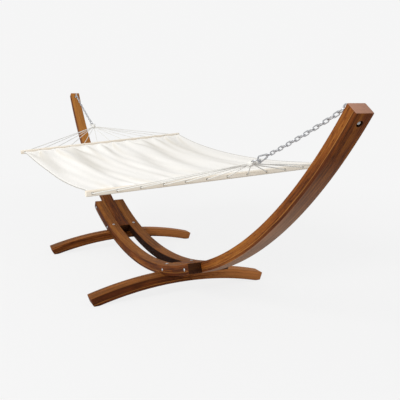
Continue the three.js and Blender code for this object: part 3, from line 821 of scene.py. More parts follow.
# A bent board with rounded edges, moved to its place, with holes cut by the tools.
def board(name, centreZ, radius, halfAngles, size, side, bend, wood, place=Matrix(), tools=()):
    values = {"Radius": radius, "Centre Height": centreZ, "From": halfAngles[0], "To": halfAngles[1],
              "Width": size["width"], "Depth": size["depth"], "Steps": size["steps"], "Side": side,
              "Bend": bend, "Material": wood}
    piece = grow(name, makeMesh("empty", [(0, 0, 0)]), bentBoard, values)
    piece.data.transform(place)
    for corner in piece.data.vertices:
        corner.co.z = max(corner.co.z, 0.0)
    roundEdges(piece, size["edgeRadius"], stand["edgeSegments"], radians(35))
    for tool in tools:
        hole = piece.modifiers.new("hole", "BOOLEAN")
        hole.object = tool
        hole.operation = "DIFFERENCE"
        hole.solver = "EXACT"
    evaluated(piece)
    for tool in tools:
        bpy.data.objects.remove(tool)
    piece.data.materials.clear()
    piece.data.materials.append(wood)
    piece.data.polygons.foreach_set("material_index", [0] * len(piece.data.polygons))
    smoothShade(piece.data)
    return piece


beam = {**stand, "width": stand["beamWidth"], "depth": stand["beamDepth"]}


def makeRail(name, side):
    return board(name, arcCentreZ, arcRadius, (-railEnd, railEnd), beam, side * railY, 1.0, railWood)


def makeArm(name):
    beyond = onArc(outerRadius + stand["beamDepth"], eyeAngle)
    counterbore = cylinder(onArc(eyeSeat, eyeAngle), beyond, stand["counterboreRadius"])
    return board(name, arcCentreZ, arcRadius, (armStart, armEnd), beam, 0.0, 1.0, armWood,
                 tools=[counterbore])


# A foot is housed under the rails and bored from below for its nuts.
def makeFoot(name):
    reach = feet["width"] / 2 + feet["cutterRoom"]
    above = feet["cutterTop"]
    seat = outerRadius + gap
    xs = np.linspace(feet["x"] - reach, feet["x"] + reach, 40)
    outline = [(x, arcCentreZ - sqrt(seat**2 - x**2)) for x in xs] + [(xs[-1], above), (xs[0], above)]
    halfSlot = frameHalfWidth + gap
    rows = [[(x, y, z) for x, z in outline] for y in (-halfSlot, halfSlot)]
    tools = [makeObject("housing", skinned("housing", rows))]
    for y in (-railY, railY):
        low = onArc(footNutSeat + feet["depth"], footAngle, y)
        tools.append(cylinder(onArc(footNutSeat, footAngle, y), low, stand["counterboreRadius"]))
    place = Matrix.Translation((feet["x"], 0, 0)) @ Matrix.Rotation(pi / 2, 4, "Z")
    return board(name, footCentreZ, soleRadius + feet["depth"] / 2, (-footEndAngle, footEndAngle), feet,
                 0.0, -1.0, footWood, place, tools)


settle(makeRail("wood_rail_left", -1), "stand", "stained_wood", "rail_left")
settle(makeRail("wood_rail_right", 1), "stand", "stained_wood", "rail_right")
for end in endNames:
    settle(placed(makeArm(f"wood_arm_{end}"), end), "stand", "stained_wood", f"arm_{end}")
    settle(placed(makeFoot(f"wood_foot_{end}"), end), "stand", "stained_wood", f"foot_{end}")

print("setting the bolts")
fasteners = {
    "boltRadius": 0.004,
    "headRadius": 0.010,
    "headHeight": 0.0045,
    "headRim": 0.001,
    "headChamfer": (0.97, 0.35),  # shares of the radius and of the rim
    "tail": 0.002,
    "washerRadius": 0.011,
    "washerThickness": 0.002,
    "nutRadius": 0.0075,
    "nutHeight": 0.0065,
    "nutEdge": 0.0004,
    "sides": 32,
}
eyeBolts = {
    "innerRadius": 0.0095,
    "linkRoom": 0.0008,
    "wireRadius": 0.0035,
    "standoff": 0.030,
    "collarRadius": 0.009,
    "collarThickness": 0.003,
    "collarEdge": 0.0006,
}


def turnTo(direction):
    return tuple(direction.to_track_quat("Z", "Y").to_euler())


def headTemplate(size):
    rim, height, radius = size["headRim"], size["headHeight"], size["headRadius"]
    across, along = size["headChamfer"]
    dome = [(0, 0), (radius * across, 0), (radius, rim * along), (radius, rim)]
    dome += [(radius * cos(t), rim + (height - rim) * sin(t)) for t in arcOf(0, pi / 2, 8)[1:-1]]
    return turned("head", dome + [(0, height)], size["sides"], zinc)


def washerTemplate(size, material):
    profile = disc(size["washerRadius"], 0, size["washerThickness"], size["nutEdge"])
    return turned("washer", profile, size["sides"], material)


# A hexagon nut above its washer, and the tip of the bolt.
def nutTemplate(size):
    edge = size["nutEdge"]
    low = size["washerThickness"] + gap
    high = low + size["nutHeight"]
    nut = turned("nut", disc(size["nutRadius"], low, high, edge), 6, zinc)
    tip = turned("tip", disc(size["boltRadius"], high, high + size["tail"], edge, False), 16, zinc)
    return joined("nutEnd", [nut, tip])


def boltPlaces():
    heads = []
    tails = []
    outward = awayFromCentre(footAngle)
    for side in (-1, 1):
        heads.append((onArc(innerRadius - gap, footAngle, side * railY), -outward))
        tails.append((onArc(footNutSeat + gap, footAngle, side * railY), outward))
    for angle in sideBoltAngles:
        place = onArc(arcRadius, angle)
        reach = frameHalfWidth + gap
        heads.append((place - sideways * reach, -sideways))
        tails.append((place + sideways * reach, sideways))
    return heads, tails


def bothEnds(places):
    return places + [(turnHalf @ place, turnHalf.to_3x3() @ facing) for place, facing in places]


def fittings(name, template, pairs, material):
    places = [place for place, facing in pairs]
    return repeated(name, template, places, [turnTo(facing) for place, facing in pairs], material)


def addFasteners():
    heads, tails = [bothEnds(places) for places in boltPlaces()]
    eyeTails = bothEnds([(onArc(eyeSeat + gap, eyeAngle), awayFromCentre(eyeAngle))])
    runs = [[head[0], tail[0]] for head, tail in zip(heads, tails)]
    shanks = wire("shanks", runs, fasteners["boltRadius"], 12, zinc)
    bolts = joined("bolts", [fittings("heads", headTemplate(fasteners), heads, zinc), shanks])
    names = [f"foot_{end}_{side}" for end in endNames for side in ("left", "right")]
    names += [f"splice_{end}_{place}" for end in endNames for place in ("inner", "outer")]
    settle(bolts, "stand", "zinc_steel", *[f"{name}_bolt" for name in names])
    nuts = joined("nuts_and_washers", [
        fittings("washers", washerTemplate(fasteners, zinc), tails, zinc),
        # The washers in the counterbores get the painted shade steel.
        fittings("sunkWashers", washerTemplate(fasteners, boreShadeZinc), eyeTails, boreShadeZinc),
        fittings("nuts", nutTemplate(fasteners), tails + eyeTails, zinc),
    ])
    covered = [f"{name}_{kind}" for name in names for kind in ("washer", "nut")]
    covered += [f"eye_{kind}_{end}" for end in endNames for kind in ("washer", "nut")]
    settle(nuts, "stand", "zinc_steel", *covered)


eyeCentre = onArc(innerRadius - eyeBolts["standoff"], eyeAngle)
eyeLoopRadius = eyeBolts["innerRadius"] + eyeBolts["wireRadius"]


# Points of a circle about a centre, from its two half axes.
def circle(centre, first, second, steps):
    return [centre + first * cos(a) + second * sin(a) for a in arcOf(0, 2 * pi, steps)[:-1]]


def addEyeBolt(end):
    outward = awayFromCentre(eyeAngle)
    loop = circle(eyeCentre, Vector((eyeLoopRadius, 0, 0)), Vector((0, 0, eyeLoopRadius)), 40)
    shank = [eyeCentre + outward * eyeLoopRadius, onArc(eyeSeat, eyeAngle)]
    collar = disc(eyeBolts["collarRadius"], 0, eyeBolts["collarThickness"], eyeBolts["collarEdge"], False)
    parts = [
        wire("loop", [loop], eyeBolts["wireRadius"], 16, zinc, True),
        wire("shank", [shank], eyeBolts["wireRadius"], 16, zinc),
        turned("collar", collar, 32, zinc, aimed(onArc(innerRadius - gap, eyeAngle), -outward)),
    ]
    piece = placed(joined(f"steel_eye_bolt_{end}", parts), end)
    settle(piece, "stand", "zinc_steel", f"eye_bolt_{end}")


addFasteners()
for end in endNames:
    addEyeBolt(end)

print("linking the chains")
chain = {
    "links": 17,
    "wireRadius": 0.0025,
    "innerLength": 0.0313,
    "innerWidth": 0.010,
    "bite": 0.0004,
    "slopeTop": radians(26.5),
    "slopeFoot": radians(22.0),
}
hook = {
    "length": 0.090,
    "width": 0.038,
    "wireRadius": 0.00375,
    "smallRadius": 0.007,
    "pivotReach": 0.011,
    "nose": 0.003,
    "gateRadius": 0.003,
    "tongue": 0.004,
    "tongueRoom": 0.0005,
    "cheek": 0.0016,
    "cheekLap": 0.004,
    "barLap": 0.0035,
    "plateEdge": 0.0003,
    "rivetRadius": 0.0019,
    "rivetTail": 0.0008,
    "rodEdge": 0.35,  # share of a rod's radius that its rounded end takes
}
rings = {
    "radius": 0.020,
    "wireRadius": 0.003,
}


def downSlope(slope):
    return Vector((-cos(slope), 0, -sin(slope)))


def linkTemplate(size):
    radius = size["innerWidth"] / 2 + size["wireRadius"]
    reach = (size["innerLength"] - size["innerWidth"]) / 2
    path = [Vector((side * (reach + radius * cos(t)), side * radius * sin(t), 0))
            for side in (1, -1) for t in arcOf(-pi / 2, pi, 10)]
    return wire("link", [path], size["wireRadius"], 12, zinc, True)


def chainRun(size):
    start = eyeCentre + downSlope(size["slopeTop"]) * (
        eyeBolts["innerRadius"] - size["wireRadius"] - eyeBolts["linkRoom"])
    span = size["innerLength"] + 2 * size["wireRadius"]
    places = []
    turns = []
    slopes = arcOf(size["slopeTop"], size["slopeFoot"] - size["slopeTop"], size["links"] - 1)
    for i, slope in enumerate(slopes):
        heading = downSlope(slope)
        places.append(start + heading * span / 2)
        turns.append((pi / 2 * (i % 2), -slope, 0))
        foot = start + heading * span
        start = start + heading * (size["innerLength"] + size["bite"])
    return places, turns, foot


chainPlaces, chainTurns, chainFoot = chainRun(chain)
hookA = -downSlope(chain["slopeFoot"])
hookB = Vector((-hookA.z, 0, hookA.x))
hookBig = hook["width"] / 2 - hook["wireRadius"]
hookSmall = hook["smallRadius"]
hookSpan = hook["length"] - 2 * hook["wireRadius"] - hookBig - hookSmall
hookTaper = asin((hookBig - hookSmall) / hookSpan)
hookCrown = chainFoot + hookA * (chain["wireRadius"] + hook["wireRadius"] + gap)
hookOrigin = hookCrown - hookA * (hookSpan + hookSmall)


def onHook(a, b, y=0.0):
    return hookOrigin + hookA * a + hookB * b + sideways * y


gateSmall = Vector((hookSpan + hookSmall * sin(hookTaper), -hookSmall * cos(hookTaper)))
gateBig = Vector((hookBig * sin(hookTaper), -hookBig * cos(hookTaper)))
gateRun = (gateBig - gateSmall).length - hook["pivotReach"] - hook["nose"]
gateHeading = (gateBig - gateSmall).normalized()
tongueRadius = hook["wireRadius"] + hook["tongueRoom"]


def onGate(distance, y=0.0):
    place = gateSmall + gateHeading * (hook["pivotReach"] + distance)
    return onHook(place.x, place.y, y)


# A rod with rounded ends, for rivets and the gate's bar.
def roundedRod(name, start, end, radius):
    run = (end - start).length
    edge = radius * hook["rodEdge"]
    profile = [(0, 0), (radius - edge, 0), (radius - edge * 0.3, edge * 0.3), (radius, edge)]
    profile += [(r, run - height) for r, height in reversed(profile)]
    return turned(name, profile, 16, zinc, aimed(start, end - start), radians(60))


# A flat cheek with a round end at the rivet, in the hook's plane.
def cheekPlate(name, reach, radius, low, high):
    outline = [(radius * cos(a), radius * sin(a)) for a in arcOf(pi / 2, pi, 12)]
    outline += [(reach, -radius), (reach, radius)]
    run = (onGate(1.0) - onGate(0.0)).normalized()
    across = sideways.cross(run)
    rows = [[onGate(0.0, y) + run * a + across * b for a, b in outline] for y in (low, high)]
    mesh = skinned(name, rows)
    mesh.materials.append(zinc)
    piece = makeObject(name, mesh)
    roundEdges(piece, hook["plateEdge"], 2, radians(30))
    smoothShade(evaluated(piece).data)
    return piece


def hookWire():
    path = [onGate(gateRun)]
    bigEnd = arcOf(hookTaper - pi / 2, -(pi + 2 * hookTaper), 32)
    path += [onHook(hookBig * cos(t), hookBig * sin(t)) for t in bigEnd]
    smallEnd = arcOf(pi / 2 - hookTaper, 2 * hookTaper - pi, 16)
    path += [onHook(hookSpan + hookSmall * cos(t), hookSmall * sin(t)) for t in smallEnd]
    path.append(onGate(-tongueRadius))
    return wire("hookWire", [path], hook["wireRadius"], 16, zinc)


def addSuspension(end):
    links = repeated("links", linkTemplate(chain), chainPlaces, chainTurns, zinc)
    inner = hook["tongue"] / 2 + gap
    outer = inner + hook["cheek"]
    tail = outer + hook["rivetTail"]
    cheekRun = tongueRadius + gap + hook["cheekLap"]
    tongue = cheekPlate("tongue", tongueRadius, tongueRadius, -hook["tongue"] / 2, hook["tongue"] / 2)
    gate = [
        roundedRod("bar", onGate(cheekRun - hook["barLap"]), onGate(gateRun - gap), hook["gateRadius"]),
        roundedRod("rivet", onGate(0, -tail), onGate(0, tail), hook["rivetRadius"]),
        cheekPlate("cheek", cheekRun, hook["gateRadius"], -outer, -inner),
        cheekPlate("cheek", cheekRun, hook["gateRadius"], inner, outer),
    ]
    around = circle(ringCentre, hookA * rings["radius"], sideways * rings["radius"], 48)
    ring = wire("ring", [around], rings["wireRadius"], 16, zinc, True)
    for name, parts, body, node in (("chain", [links], "suspension", "chain"),
                                    ("hook", [hookWire(), tongue], "suspension", "snap_hook"),
                                    ("gate", gate, f"gate_{end}", "hook_gate"),
                                    ("ring", [ring], "suspension", "ring")):
        piece = placed(joined(f"steel_{name}_{end}", parts), end)
        settle(piece, body, "zinc_steel", f"{node}_{end}")


ringInset = hookBig - hook["wireRadius"] - rings["wireRadius"] - gap
ringCentre = onHook(-ringInset - rings["radius"], 0)
ringBedSide = ringCentre - hookA * rings["radius"]
ringNormal = hookA.cross(sideways).normalized()
for end in endNames:
    addSuspension(end)

print("tying the harnesses")
harness = {
    "cords": 12,
    "pitch": 0.1216,
    "cordRadius": 0.0025,
    "sides": 10,
    "reach": 0.370,
    "drop": 0.126,
    "bend": (0.006, 0.010),  # length of the bend before and after a cord's outlet
    "cordEnd": 1 / 3,  # share of the lashing that a cord reaches into
    "lashing": 0.040,
    "lashingRadius": 0.014,
    "swell": (0.62, 0.40, 0.6),  # least share of the radius, the rest of it, and how full it is
    "swellSpan": (0.12, 0.80),
    "coreShape": [(0, 0), (0.6, 0), (0.92, 0.12), (0.95, 0.5), (0.85, 0.85), (0.6, 1), (0, 1)],
    "turns": 10,
    "stepsPerTurn": 26,
    "wrapRadius": 0.0021,
    "bightRadius": 0.0031,
    "eyeRadius": 0.005,
    "bightSpread": 0.25,  # angle round the ring from one bight to the next
    "bightLift": 0.004,
    "bightSlip": 0.0011,
    "bightSwing": (0.30 * pi, 1.40 * pi),  # where a bight starts on the ring's wire, and its sweep
    "throat": 0.90,
    "blendEnd": 0.85,
    "knotRadius": 0.006,
    "knotSize": (0.0019, 0.0014),
    "knotTwist": 0.7,  # angle from one knot to the next
    "knotWire": 0.0024,
    "spread": 0.0013,
}
bars = {
    "length": 1.400,
    "height": 0.030,
    "thickness": 0.022,
    "corner": 0.007,
    "endRound": 0.003,
    "holeRadius": 0.0066,
}
bed = {
    "tilt": 0.064,
    "twist": 0.013,
    "width": 1.360,
    "thickness": 0.002,
    "sag": 0.052,
    "waist": 0.024,
    "waistEase": 0.7,
    "hemRadius": 0.006,
    "hemReach": 0.034,
    "hemPucker": 0.0010,
    "puckerRate": 190,
    "edgeRadius": 0.0026,
    "scallop": 0.009,
    "scallopDrop": 0.005,
    "foldLength": 0.260,
    "rows": 150,
    "columnsPerCord": 15,
    "hemSteps": 220,
    "sideSteps": 150,
    "seed": 11,
    "tuckHeight": 0.0085,
    "tuckWidth": (0.009, 0.075, 0.25),  # at the hem, what it gains, and the distance for half of that
    "tuckFade": (1.6, 0.012),
    "tuckDip": (0.75, 1.35, 0.7),  # depth, place and width of the dip beside a tuck
    "tuckReach": (0.20, 0.46),
    "farReach": 1.5,
    "tuckDrift": 0.13,
    "waves": 7,
    "waveHeight": 0.0008,
    "waveLength": (0.05, 0.14),
    "foldEase": 8,
    # The next keys place the painted shade on the steep sides of tucks and folds.
    "foldShadeEnd": 0.25,
    "tuckShade": 0.8,
    "tuckShadePlace": 0.75,
    "tuckShadeWidth": 0.4,
    "foldShadePlace": 0.25,
    "foldShadeEase": 6,
}
# Loose folds along the bed: each a rise beside a dip. Place is where its steep side crosses the
# middle of the bed, and drift how far it goes sideways towards the front.
foldKeys = ("place", "drift", "width", "height", "centre", "reach", "foldShade")
foldTable = (
    (-0.618, -0.045, 0.048, 0.008, -0.5, 0.55, 0.4),
    (-0.368, -0.045, 0.062, 0.013, -0.45, 0.65, 0.7),
    (0.025, -0.150, 0.066, 0.009, 0.1, 0.6, 0.35),
    (0.222, -0.100, 0.062, 0.011, -0.15, 0.8, 0.45),
    (0.475, -0.060, 0.062, 0.009, -0.3, 0.75, 0.35),
)
looseFolds = [dict(zip(foldKeys, row)) for row in foldTable]
barPlace = Vector((ringBedSide.x - harness["reach"], 0, ringBedSide.z - harness["drop"]))
harnessAxis = (ringBedSide - barPlace).normalized()
harnessNormal = Vector((-harnessAxis.z, 0, harnessAxis.x))
lashingLoop = rings["wireRadius"] + gap + harness["eyeRadius"]
mouth = ringBedSide - harnessAxis * (lashingLoop + harness["lashing"])
hemX = barPlace.x - bars["thickness"] / 2 - bed["hemReach"]
cordSteps = [i - (harness["cords"] - 1) / 2 for i in range(harness["cords"])]
cordYs = [step * harness["pitch"] for step in cordSteps]
bedLevel = Matrix.Translation((0, 0, barPlace.z))
# The rear end is built in the front's place and then turned, so its tilt changes sign.
ownTilts = {"front": bed["tilt"] - bed["twist"], "rear": -(bed["tilt"] + bed["twist"])}


def inLashing(share):
    return mouth + harnessAxis * (harness["lashing"] * share)


def cordPath(i, tilt):
    hang = Vector((0, 0, barPlace.z)) + Vector((0, cos(tilt), sin(tilt))) * cordYs[i]
    knotX = hemX + bed["hemRadius"] + gap + harness["knotRadius"]
    outletX = barPlace.x + bars["thickness"] / 2 + 2 * harness["cordRadius"]
    outlet = hang + Vector((outletX, 0, 0))
    end = inLashing(harness["cordEnd"]) + sideways * (cordSteps[i] * harness["spread"])
    end = end + harnessNormal * (harness["cordRadius"] * (1 if i % 2 == 0 else -1))
    before, after = harness["bend"]
    first, last = outlet - Vector((before, 0, 0)), outlet + (end - outlet).normalized() * after
    bend = [first * (1 - t) ** 2 + outlet * 2 * t * (1 - t) + last * t**2 for t in arcOf(0, 1, 6)]
    return [hang + Vector((knotX, 0, 0)), *bend, end]


# A knot drawn tight: a trefoil run of the same cord.
def knotTemplate():
    path = []
    length, size = harness["knotSize"]
    for turn in arcOf(0, 2 * pi, 30)[:-1]:
        radius = size * (1.6 + cos(3 * turn))
        path.append(Vector((length * sin(3 * turn), radius * cos(2 * turn), radius * sin(2 * turn))))
    return wire("knot", [path], harness["knotWire"], 8, wornCord, True)


def lashingWraps():
    path = []
    least, rest, fullness = harness["swell"]
    first, span = harness["swellSpan"]
    for share in arcOf(0, 1, harness["stepsPerTurn"] * harness["turns"]):
        turn = 2 * pi * harness["turns"] * share
        swell = least + rest * sin(pi * min(1, first + share * span)) ** fullness
        radius = harness["lashingRadius"] * swell - harness["wrapRadius"]
        path.append(inLashing(share) + (sideways * cos(turn) + harnessNormal * sin(turn)) * radius)
    return wire("wraps", [path], harness["wrapRadius"], 8, cord)


def lashingCore():
    radius, run = harness["lashingRadius"] - harness["wrapRadius"], harness["lashing"]
    profile = [(radius * across, run * along) for across, along in harness["coreShape"]]
    return turned("core", profile, 20, cord, aimed(mouth, harnessAxis))


# Each cord's bight passes round the ring's bed side and back into the lashing.
def addBights(end):
    runs = []
    clear = rings["wireRadius"] + harness["bightRadius"] + gap
    lift = harnessNormal * harness["bightLift"]
    for step in cordSteps:
        turn = harness["bightSpread"] * step
        outward = sideways * sin(turn) - hookA * cos(turn)
        onRing = ringCentre + outward * rings["radius"]
        throat = inLashing(harness["throat"]) + sideways * (harness["bightSlip"] * step)
        swings = arcOf(*harness["bightSwing"], 8)
        loop = [onRing + (outward * cos(t) + ringNormal * sin(t)) * clear for t in swings]
        runs.append([throat + lift, *loop, throat - lift])
    piece = placed(wire(f"cord_bights_{end}", runs, harness["bightRadius"], 8, cord), end)
    start, stop = ringBedSide, inLashing(harness["blendEnd"])
    if end == "rear":
        start, stop = turnHalf @ start, turnHalf @ stop
    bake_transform(piece)


def addHarness(end, tilt):
    paths = [cordPath(i, tilt) for i in range(harness["cords"])]
    cords = wire("cords", paths, harness["cordRadius"], harness["sides"], cord)
    turns = [(harness["knotTwist"] * i, 0, 0) for i in range(harness["cords"])]
    knots = repeated("knots", knotTemplate(), [path[0] for path in paths], turns, wornCord)
    parts = [cords, knots, lashingWraps(), lashingCore()]
    settle(placed(joined(f"cord_harness_{end}", parts), end), "bed", "cord", f"harness_{end}")
    addBights(end)


for end in endNames:
    addHarness(end, ownTilts[end])

print("drilling the spreader bars")


def barMesh(name, size):
    w, h, r = size["thickness"] / 2, size["height"] / 2, size["corner"]
    section = []
    for cx, cz, first in ((w - r, h - r, 0), (r - w, h - r, 1), (r - w, r - h, 2), (w - r, r - h, 3)):
        section += [(cx + r * cos(t), cz + r * sin(t)) for t in arcOf(first * pi / 2, pi / 2, 5)]
    half, soft = size["length"] / 2, size["endRound"]
    inset = [(half - soft * (1 - sin(t)), soft * (1 - cos(t))) for t in arcOf(0, pi / 2, 4)]
    ends = [(-y, shrink) for y, shrink in reversed(inset)] + inset
    return skinned(name, [[(x * (1 - shrink / w), y, z * (1 - shrink / h)) for x, z in section]
                          for y, shrink in ends])


def addBar(end, tilt):
    values = {"Count": harness["cords"], "Pitch": harness["pitch"], "Hole Radius": bars["holeRadius"],
              "Through": bars["thickness"] * 2, "Material": barWood}
    piece = grow(f"wood_bar_{end}", barMesh("bar", bars), drilledRow, values)
    piece.data.materials.append(holeWood)
    # The hole walls get the painted shade.
    for face in piece.data.polygons:
        fromAxis = min(hypot(face.center.y - y, face.center.z) for y in cordYs)
        if fromAxis < bars["holeRadius"] and abs(face.normal.x) < 0.5:
            face.material_index = 1
    piece.data.transform(Matrix.Translation(barPlace) @ Matrix.Rotation(tilt, 4, "X"))
    smoothShade(piece.data)
    settle(placed(piece, end), "bed", "bare_wood", f"spreader_bar_{end}")


for end in endNames:
    addBar(end, ownTilts[end])

print("stretching the canvas")
chance = np.random.RandomState(bed["seed"])
tucks = []
for endSide in (-1, 1):
    for y in cordYs:
        tucks.append({
            "end": endSide,
            "y": y,
            "height": bed["tuckHeight"] * chance.uniform(0.55, 1.15),
            "reach": chance.uniform(*bed["tuckReach"]) * (bed["farReach"] if endSide < 0 else 1.0),
            "drift": chance.uniform(-bed["tuckDrift"], bed["tuckDrift"]),
            "hand": chance.choice((-1, 1)),
        })
waves = []
for k in range(bed["waves"]):
    waves.append({
        "length": chance.uniform(*bed["waveLength"]),
        "phase": chance.uniform(0, 2 * pi),
        "bend": chance.uniform(-0.9, 0.9),
        "bendPhase": chance.uniform(0, pi),
        "height": bed["waveHeight"] * chance.uniform(0.4, 1.0),
    })


def slackAt(y):
    return np.cos(pi * y / harness["pitch"]) ** 2


def rimX(y):
    return hemX - bed["scallop"] * slackAt(y)


def clothReach(y):
    return rimX(y) - bed["hemRadius"] - gap


def rimDrop(y):
    return bed["scallopDrop"] * slackAt(y)


def hill(t):
    return np.exp(-(t**2))


def tuckAcross(tuck, share, y):
    distance = clothReach(y) * (1 - tuck["end"] * share)
    narrow, gain, halfway = bed["tuckWidth"]
    width = narrow + gain * distance / (halfway + distance)
    power, start = bed["tuckFade"]
    fade = np.exp(-((distance / tuck["reach"]) ** power)) * (1 - np.exp(-distance / start))
    return (y - tuck["y"] - tuck["drift"] * distance) / width, fade


def foldAcross(fold, share, y):
    fade = np.exp(-(((share - fold["centre"]) / fold["reach"]) ** 4))
    return (y - fold["place"] - fold["drift"] * share) / fold["width"], fade


# How strongly painted shade darkens the steep sides of the tucks and loose folds.
def foldShadeAt(share, y):
    foldShade = 0 * y
    for tuck in tucks:
        across, fade = tuckAcross(tuck, share, y)
        steep = hill((across - bed["tuckShadePlace"] * tuck["hand"]) / bed["tuckShadeWidth"])
        foldShade = foldShade + bed["tuckShade"] * steep * fade
    for fold in looseFolds:
        across, fade = foldAcross(fold, share, y)
        towardsRear = 1 / (1 + np.exp(bed["foldShadeEase"] * (share - bed["foldShadeEnd"])))
        foldShade = foldShade + fold["foldShade"] * hill(across - bed["foldShadePlace"]) * fade * towardsRear
    return np.clip(foldShade, 0, 1)


# Height of the cloth in the bed's own frame, for its share of the half length and its place across.
def clothHeight(share, y):
    fromRim = clothReach(y) * (1 - np.abs(share))
    height = -bed["sag"] * (1 - share**2) - rimDrop(y) * np.exp(-fromRim / bed["foldLength"])
    depth, place, spread = bed["tuckDip"]
    for tuck in tucks:
        across, fade = tuckAcross(tuck, share, y)
        ridge = hill(across) - depth * hill((across - place * tuck["hand"]) / sqrt(spread))
        height = height + tuck["height"] * ridge * fade
    loose = 1 - share ** bed["foldEase"]
    for fold in looseFolds:
        across, fade = foldAcross(fold, share, y)
        height = height - loose * fold["height"] * across * np.exp((1 - across**2) / 2) * fade
    for wave in waves:
        bend = wave["bend"] * np.sin(pi * share + wave["bendPhase"])
        ripple = np.sin(2 * pi * y / wave["length"] + wave["phase"] + bend)
        height = height + loose * wave["height"] * ripple
    return height


def tilted(x, y, z, tilt):
    return np.stack([x, y * np.cos(tilt) - z * np.sin(tilt), y * np.sin(tilt) + z * np.cos(tilt)], -1)


def onCloth(share, y, lift=0.0):
    waist = 1 - 2 * bed["waist"] / bed["width"] * np.clip(1 - share**2, 0, 1) ** bed["waistEase"]
    height = clothHeight(share, y) + lift
    return tilted(share * clothReach(y), y * waist, height, bed["tilt"] - bed["twist"] * share)


def readValues(items, key, count, kind=float):
    found = np.zeros(count, kind)
    items.foreach_get(key, found)
    return found


# Gives a mesh the flat metres of its points, for the weave.
def cutFlat(mesh, places):
    corners = readValues(mesh.loops, "vertex_index", len(mesh.loops), int)
    mesh.uv_layers.new(name="cut").data.foreach_set("uv", places[corners].ravel())


def clothMesh():
    half = bed["width"] / 2
    columns = np.linspace(-half, half, harness["cords"] * bed["columnsPerCord"])
    shares = np.sin(np.linspace(-pi / 2, pi / 2, bed["rows"]))
    share, y = np.meshgrid(shares, columns, indexing="ij")
    at = np.arange(share.size).reshape(share.shape)
    quads = np.stack([at[:-1, :-1], at[1:, :-1], at[1:, 1:], at[:-1, 1:]], -1).reshape(-1, 4)
    mesh = makeMesh("cloth", onCloth(share, y).reshape(-1, 3), (), quads.tolist())
    cutFlat(mesh, np.stack([y.ravel(), share.ravel() * hemX], -1))
    shaded = mesh.attributes.new("foldShade", "FLOAT", "POINT")
    shaded.data.foreach_set("value", foldShadeAt(share, y).ravel())
    mesh.materials.append(canvas)
    return mesh


def addCanvas():
    piece = makeObject("cloth_canvas", clothMesh())
    thick = piece.modifiers.new("thickness", "SOLIDIFY")
    thick.thickness = bed["thickness"]
    thick.offset = 0
    evaluated(piece)
    piece.data.transform(bedLevel)
    piece.data.shade_smooth()
    return piece


# The rolled hem round a rope, and the narrow roll down each side.
def addHem(name, places, radius, material):
    piece = wire(name, [[Vector(p) for p in places]], radius, 12, material)
    mesh = piece.data
    count = len(mesh.vertices)
    run = readValues(mesh.attributes["along"].data, "value", count)
    around = readValues(mesh.attributes["around"].data, "vector", count * 3).reshape(-1, 3)
    cutFlat(mesh, np.stack([run, np.arctan2(around[:, 1], around[:, 0]) * radius], -1))
    mesh.transform(bedLevel)
    return piece


def hemPlaces(side):
    ys = np.linspace(-bed["width"] / 2, bed["width"] / 2, bed["hemSteps"])
    puckers = bed["hemPucker"] * np.sin(ys * bed["puckerRate"]) * slackAt(ys)
    return tilted(side * (rimX(ys) + puckers), ys, -rimDrop(ys), bed["tilt"] - bed["twist"] * side)


def sidePlaces(side):
    shares = np.linspace(-1, 1, bed["sideSteps"])
    return onCloth(shares, np.full_like(shares, side * bed["width"] / 2))


stitching = {
    "profile": [(0, -0.0019), (0.00042, -0.0012), (0.00055, 0), (0.00042, 0.0012), (0, 0.0019)],
    "pitch": 0.0060,
    "lift": 0.0002,
    "sideInset": 0.022,
    "endInset": 0.016,
    "stop": 0.012,
    "reach": 0.995,  # share of the bed's half length
    "samples": 900,
}


# Stitches lie on the cloth in rows: each point has the heading of its row.
def stitchRow(shares, ys):
    line = onCloth(shares, ys, bed["thickness"] / 2 + stitching["lift"])
    run = np.concatenate([[0], np.cumsum(np.linalg.norm(np.diff(line, axis=0), axis=1))])
    count = int(run[-1] / stitching["pitch"])
    marks = (np.arange(count) + 0.5) * run[-1] / count
    at, ahead = [np.stack([np.interp(marks + step, run, line[:, k]) for k in range(3)], -1)
                 for step in (0, stitching["pitch"] / 2)]
    return at, ahead - at


def addStitches():
    half = bed["width"] / 2
    shares = np.linspace(-stitching["reach"], stitching["reach"], stitching["samples"])
    ys = np.linspace(-half + stitching["stop"], half - stitching["stop"], stitching["samples"])
    alongSides = [np.full_like(shares, side * (half - stitching["sideInset"])) for side in (-1, 1)]
    alongEnds = [np.full_like(ys, side * (1 - stitching["endInset"] / hemX)) for side in (-1, 1)]
    rows = [stitchRow(shares, row) for row in alongSides] + [stitchRow(row, ys) for row in alongEnds]
    places, headings = [np.concatenate(values) for values in zip(*rows)]
    turns = [turnTo(Vector(heading)) for heading in headings]
    template = turned("stitch", stitching["profile"], 6, cord)
    piece = repeated("hem_stitches", template, places, turns, cord)
    piece.data.transform(bedLevel)
    return piece


sheet = addCanvas()
for end, side in (("front", 1), ("rear", -1)):
    roll = addHem(f"cloth_hem_{end}", hemPlaces(side), bed["hemRadius"] - gap, canvas)
    settle(roll, "bed", "canvas", f"end_hem_{end}")
for name, side in (("left", -1), ("right", 1)):
    roll = addHem(f"cloth_edge_{name}", sidePlaces(side), bed["edgeRadius"], shadedEdging)
    settle(roll, "bed", "canvas")
stitches = settle(addStitches(), "bed", "canvas")
settle(sheet, "bed", "canvas", "canvas_bed")

print("lighting the stage")
stage = {
    "background": (0.916, 0.916, 0.916),
    "ambient": 0.66,
    "keyPower": 660.0,
    "keyPlace": (3.4, -8.2, 5.6),
    "keyAim": (0.2, 0, 0.5),
    "keySize": 3.2,
    "floorShare": 0.10,
    "floorFade": (1.6, 4.5),
    "floorColour": (0.88, 0.88, 0.88),
    "floorBounce": (0.62, 0.62, 0.62),
    "floorHalf": 40,
    "floorDrop": 0.0006,
}


def glow(graph, kind, colour, strength):
    return graph.node(kind, None, {"Color": (*colour, 1), "Strength": strength})


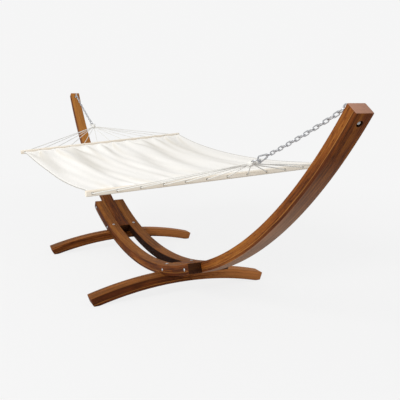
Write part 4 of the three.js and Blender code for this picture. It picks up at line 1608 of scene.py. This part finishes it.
def mixShader(graph, share, first, second):
    return graph.node("ShaderNodeMixShader", None, {0: share, 1: first, 2: second})


def addWorld(look):
    world = bpy.data.worlds.new("studio")
    world.use_nodes = True
    bpy.context.scene.world = world
    graph = Graph(world.node_tree)
    graph.tree.nodes.clear()
    rays = graph.node("ShaderNodeLightPath")
    seen = rays.out("Is Camera Ray").call("MAXIMUM", rays.out("Is Transmission Ray"))
    plain = glow(graph, "ShaderNodeBackground", (1, 1, 1), look["ambient"])
    shown = glow(graph, "ShaderNodeBackground", look["background"], 1.0)
    graph.node("ShaderNodeOutputWorld", None, {"Surface": mixShader(graph, seen, plain, shown)})


def addFloor(look):
    paint = Material("floor")
    place = paint.node("ShaderNodeVectorMath", {"operation": "LENGTH"}, {0: paint.place()}, "Value")
    share = (1 - paint.steps(place, *look["floorFade"])) * look["floorShare"]
    seen = paint.node("ShaderNodeLightPath").out("Is Camera Ray")
    bounce = paint.node("ShaderNodeBsdfDiffuse", None, {"Color": (*look["floorBounce"], 1)})
    matte = paint.node("ShaderNodeBsdfDiffuse", None, {"Color": (*look["floorColour"], 1)})
    shown = glow(paint, "ShaderNodeEmission", look["background"], 1.0)
    both = mixShader(paint, seen, bounce, mixShader(paint, share, shown, matte))
    paint.node("ShaderNodeOutputMaterial", None, {"Surface": both})
    half = look["floorHalf"]
    corners = [(-half, -half, 0), (half, -half, 0), (half, half, 0), (-half, half, 0)]
    mesh = makeMesh("floor", corners, (), [(0, 1, 2, 3)])
    mesh.materials.append(paint.material)
    floor = makeObject("floor", mesh)
    floor.location.z = -look["floorDrop"]


def addLamp(look):
    data = bpy.data.lights.new("softLamp", "AREA")
    data.shape = "DISK"
    data.size = look["keySize"]
    data.energy = look["keyPower"]
    lamp = makeObject("softLamp", data)
    lamp.location = look["keyPlace"]
    lamp.rotation_mode = "QUATERNION"
    aim = Vector(look["keyAim"]) - Vector(look["keyPlace"])
    lamp.rotation_quaternion = aim.to_track_quat("-Z", "Y")


addWorld(stage)
addFloor(stage)
addLamp(stage)
bpy.context.scene.view_settings.view_transform = "Standard"
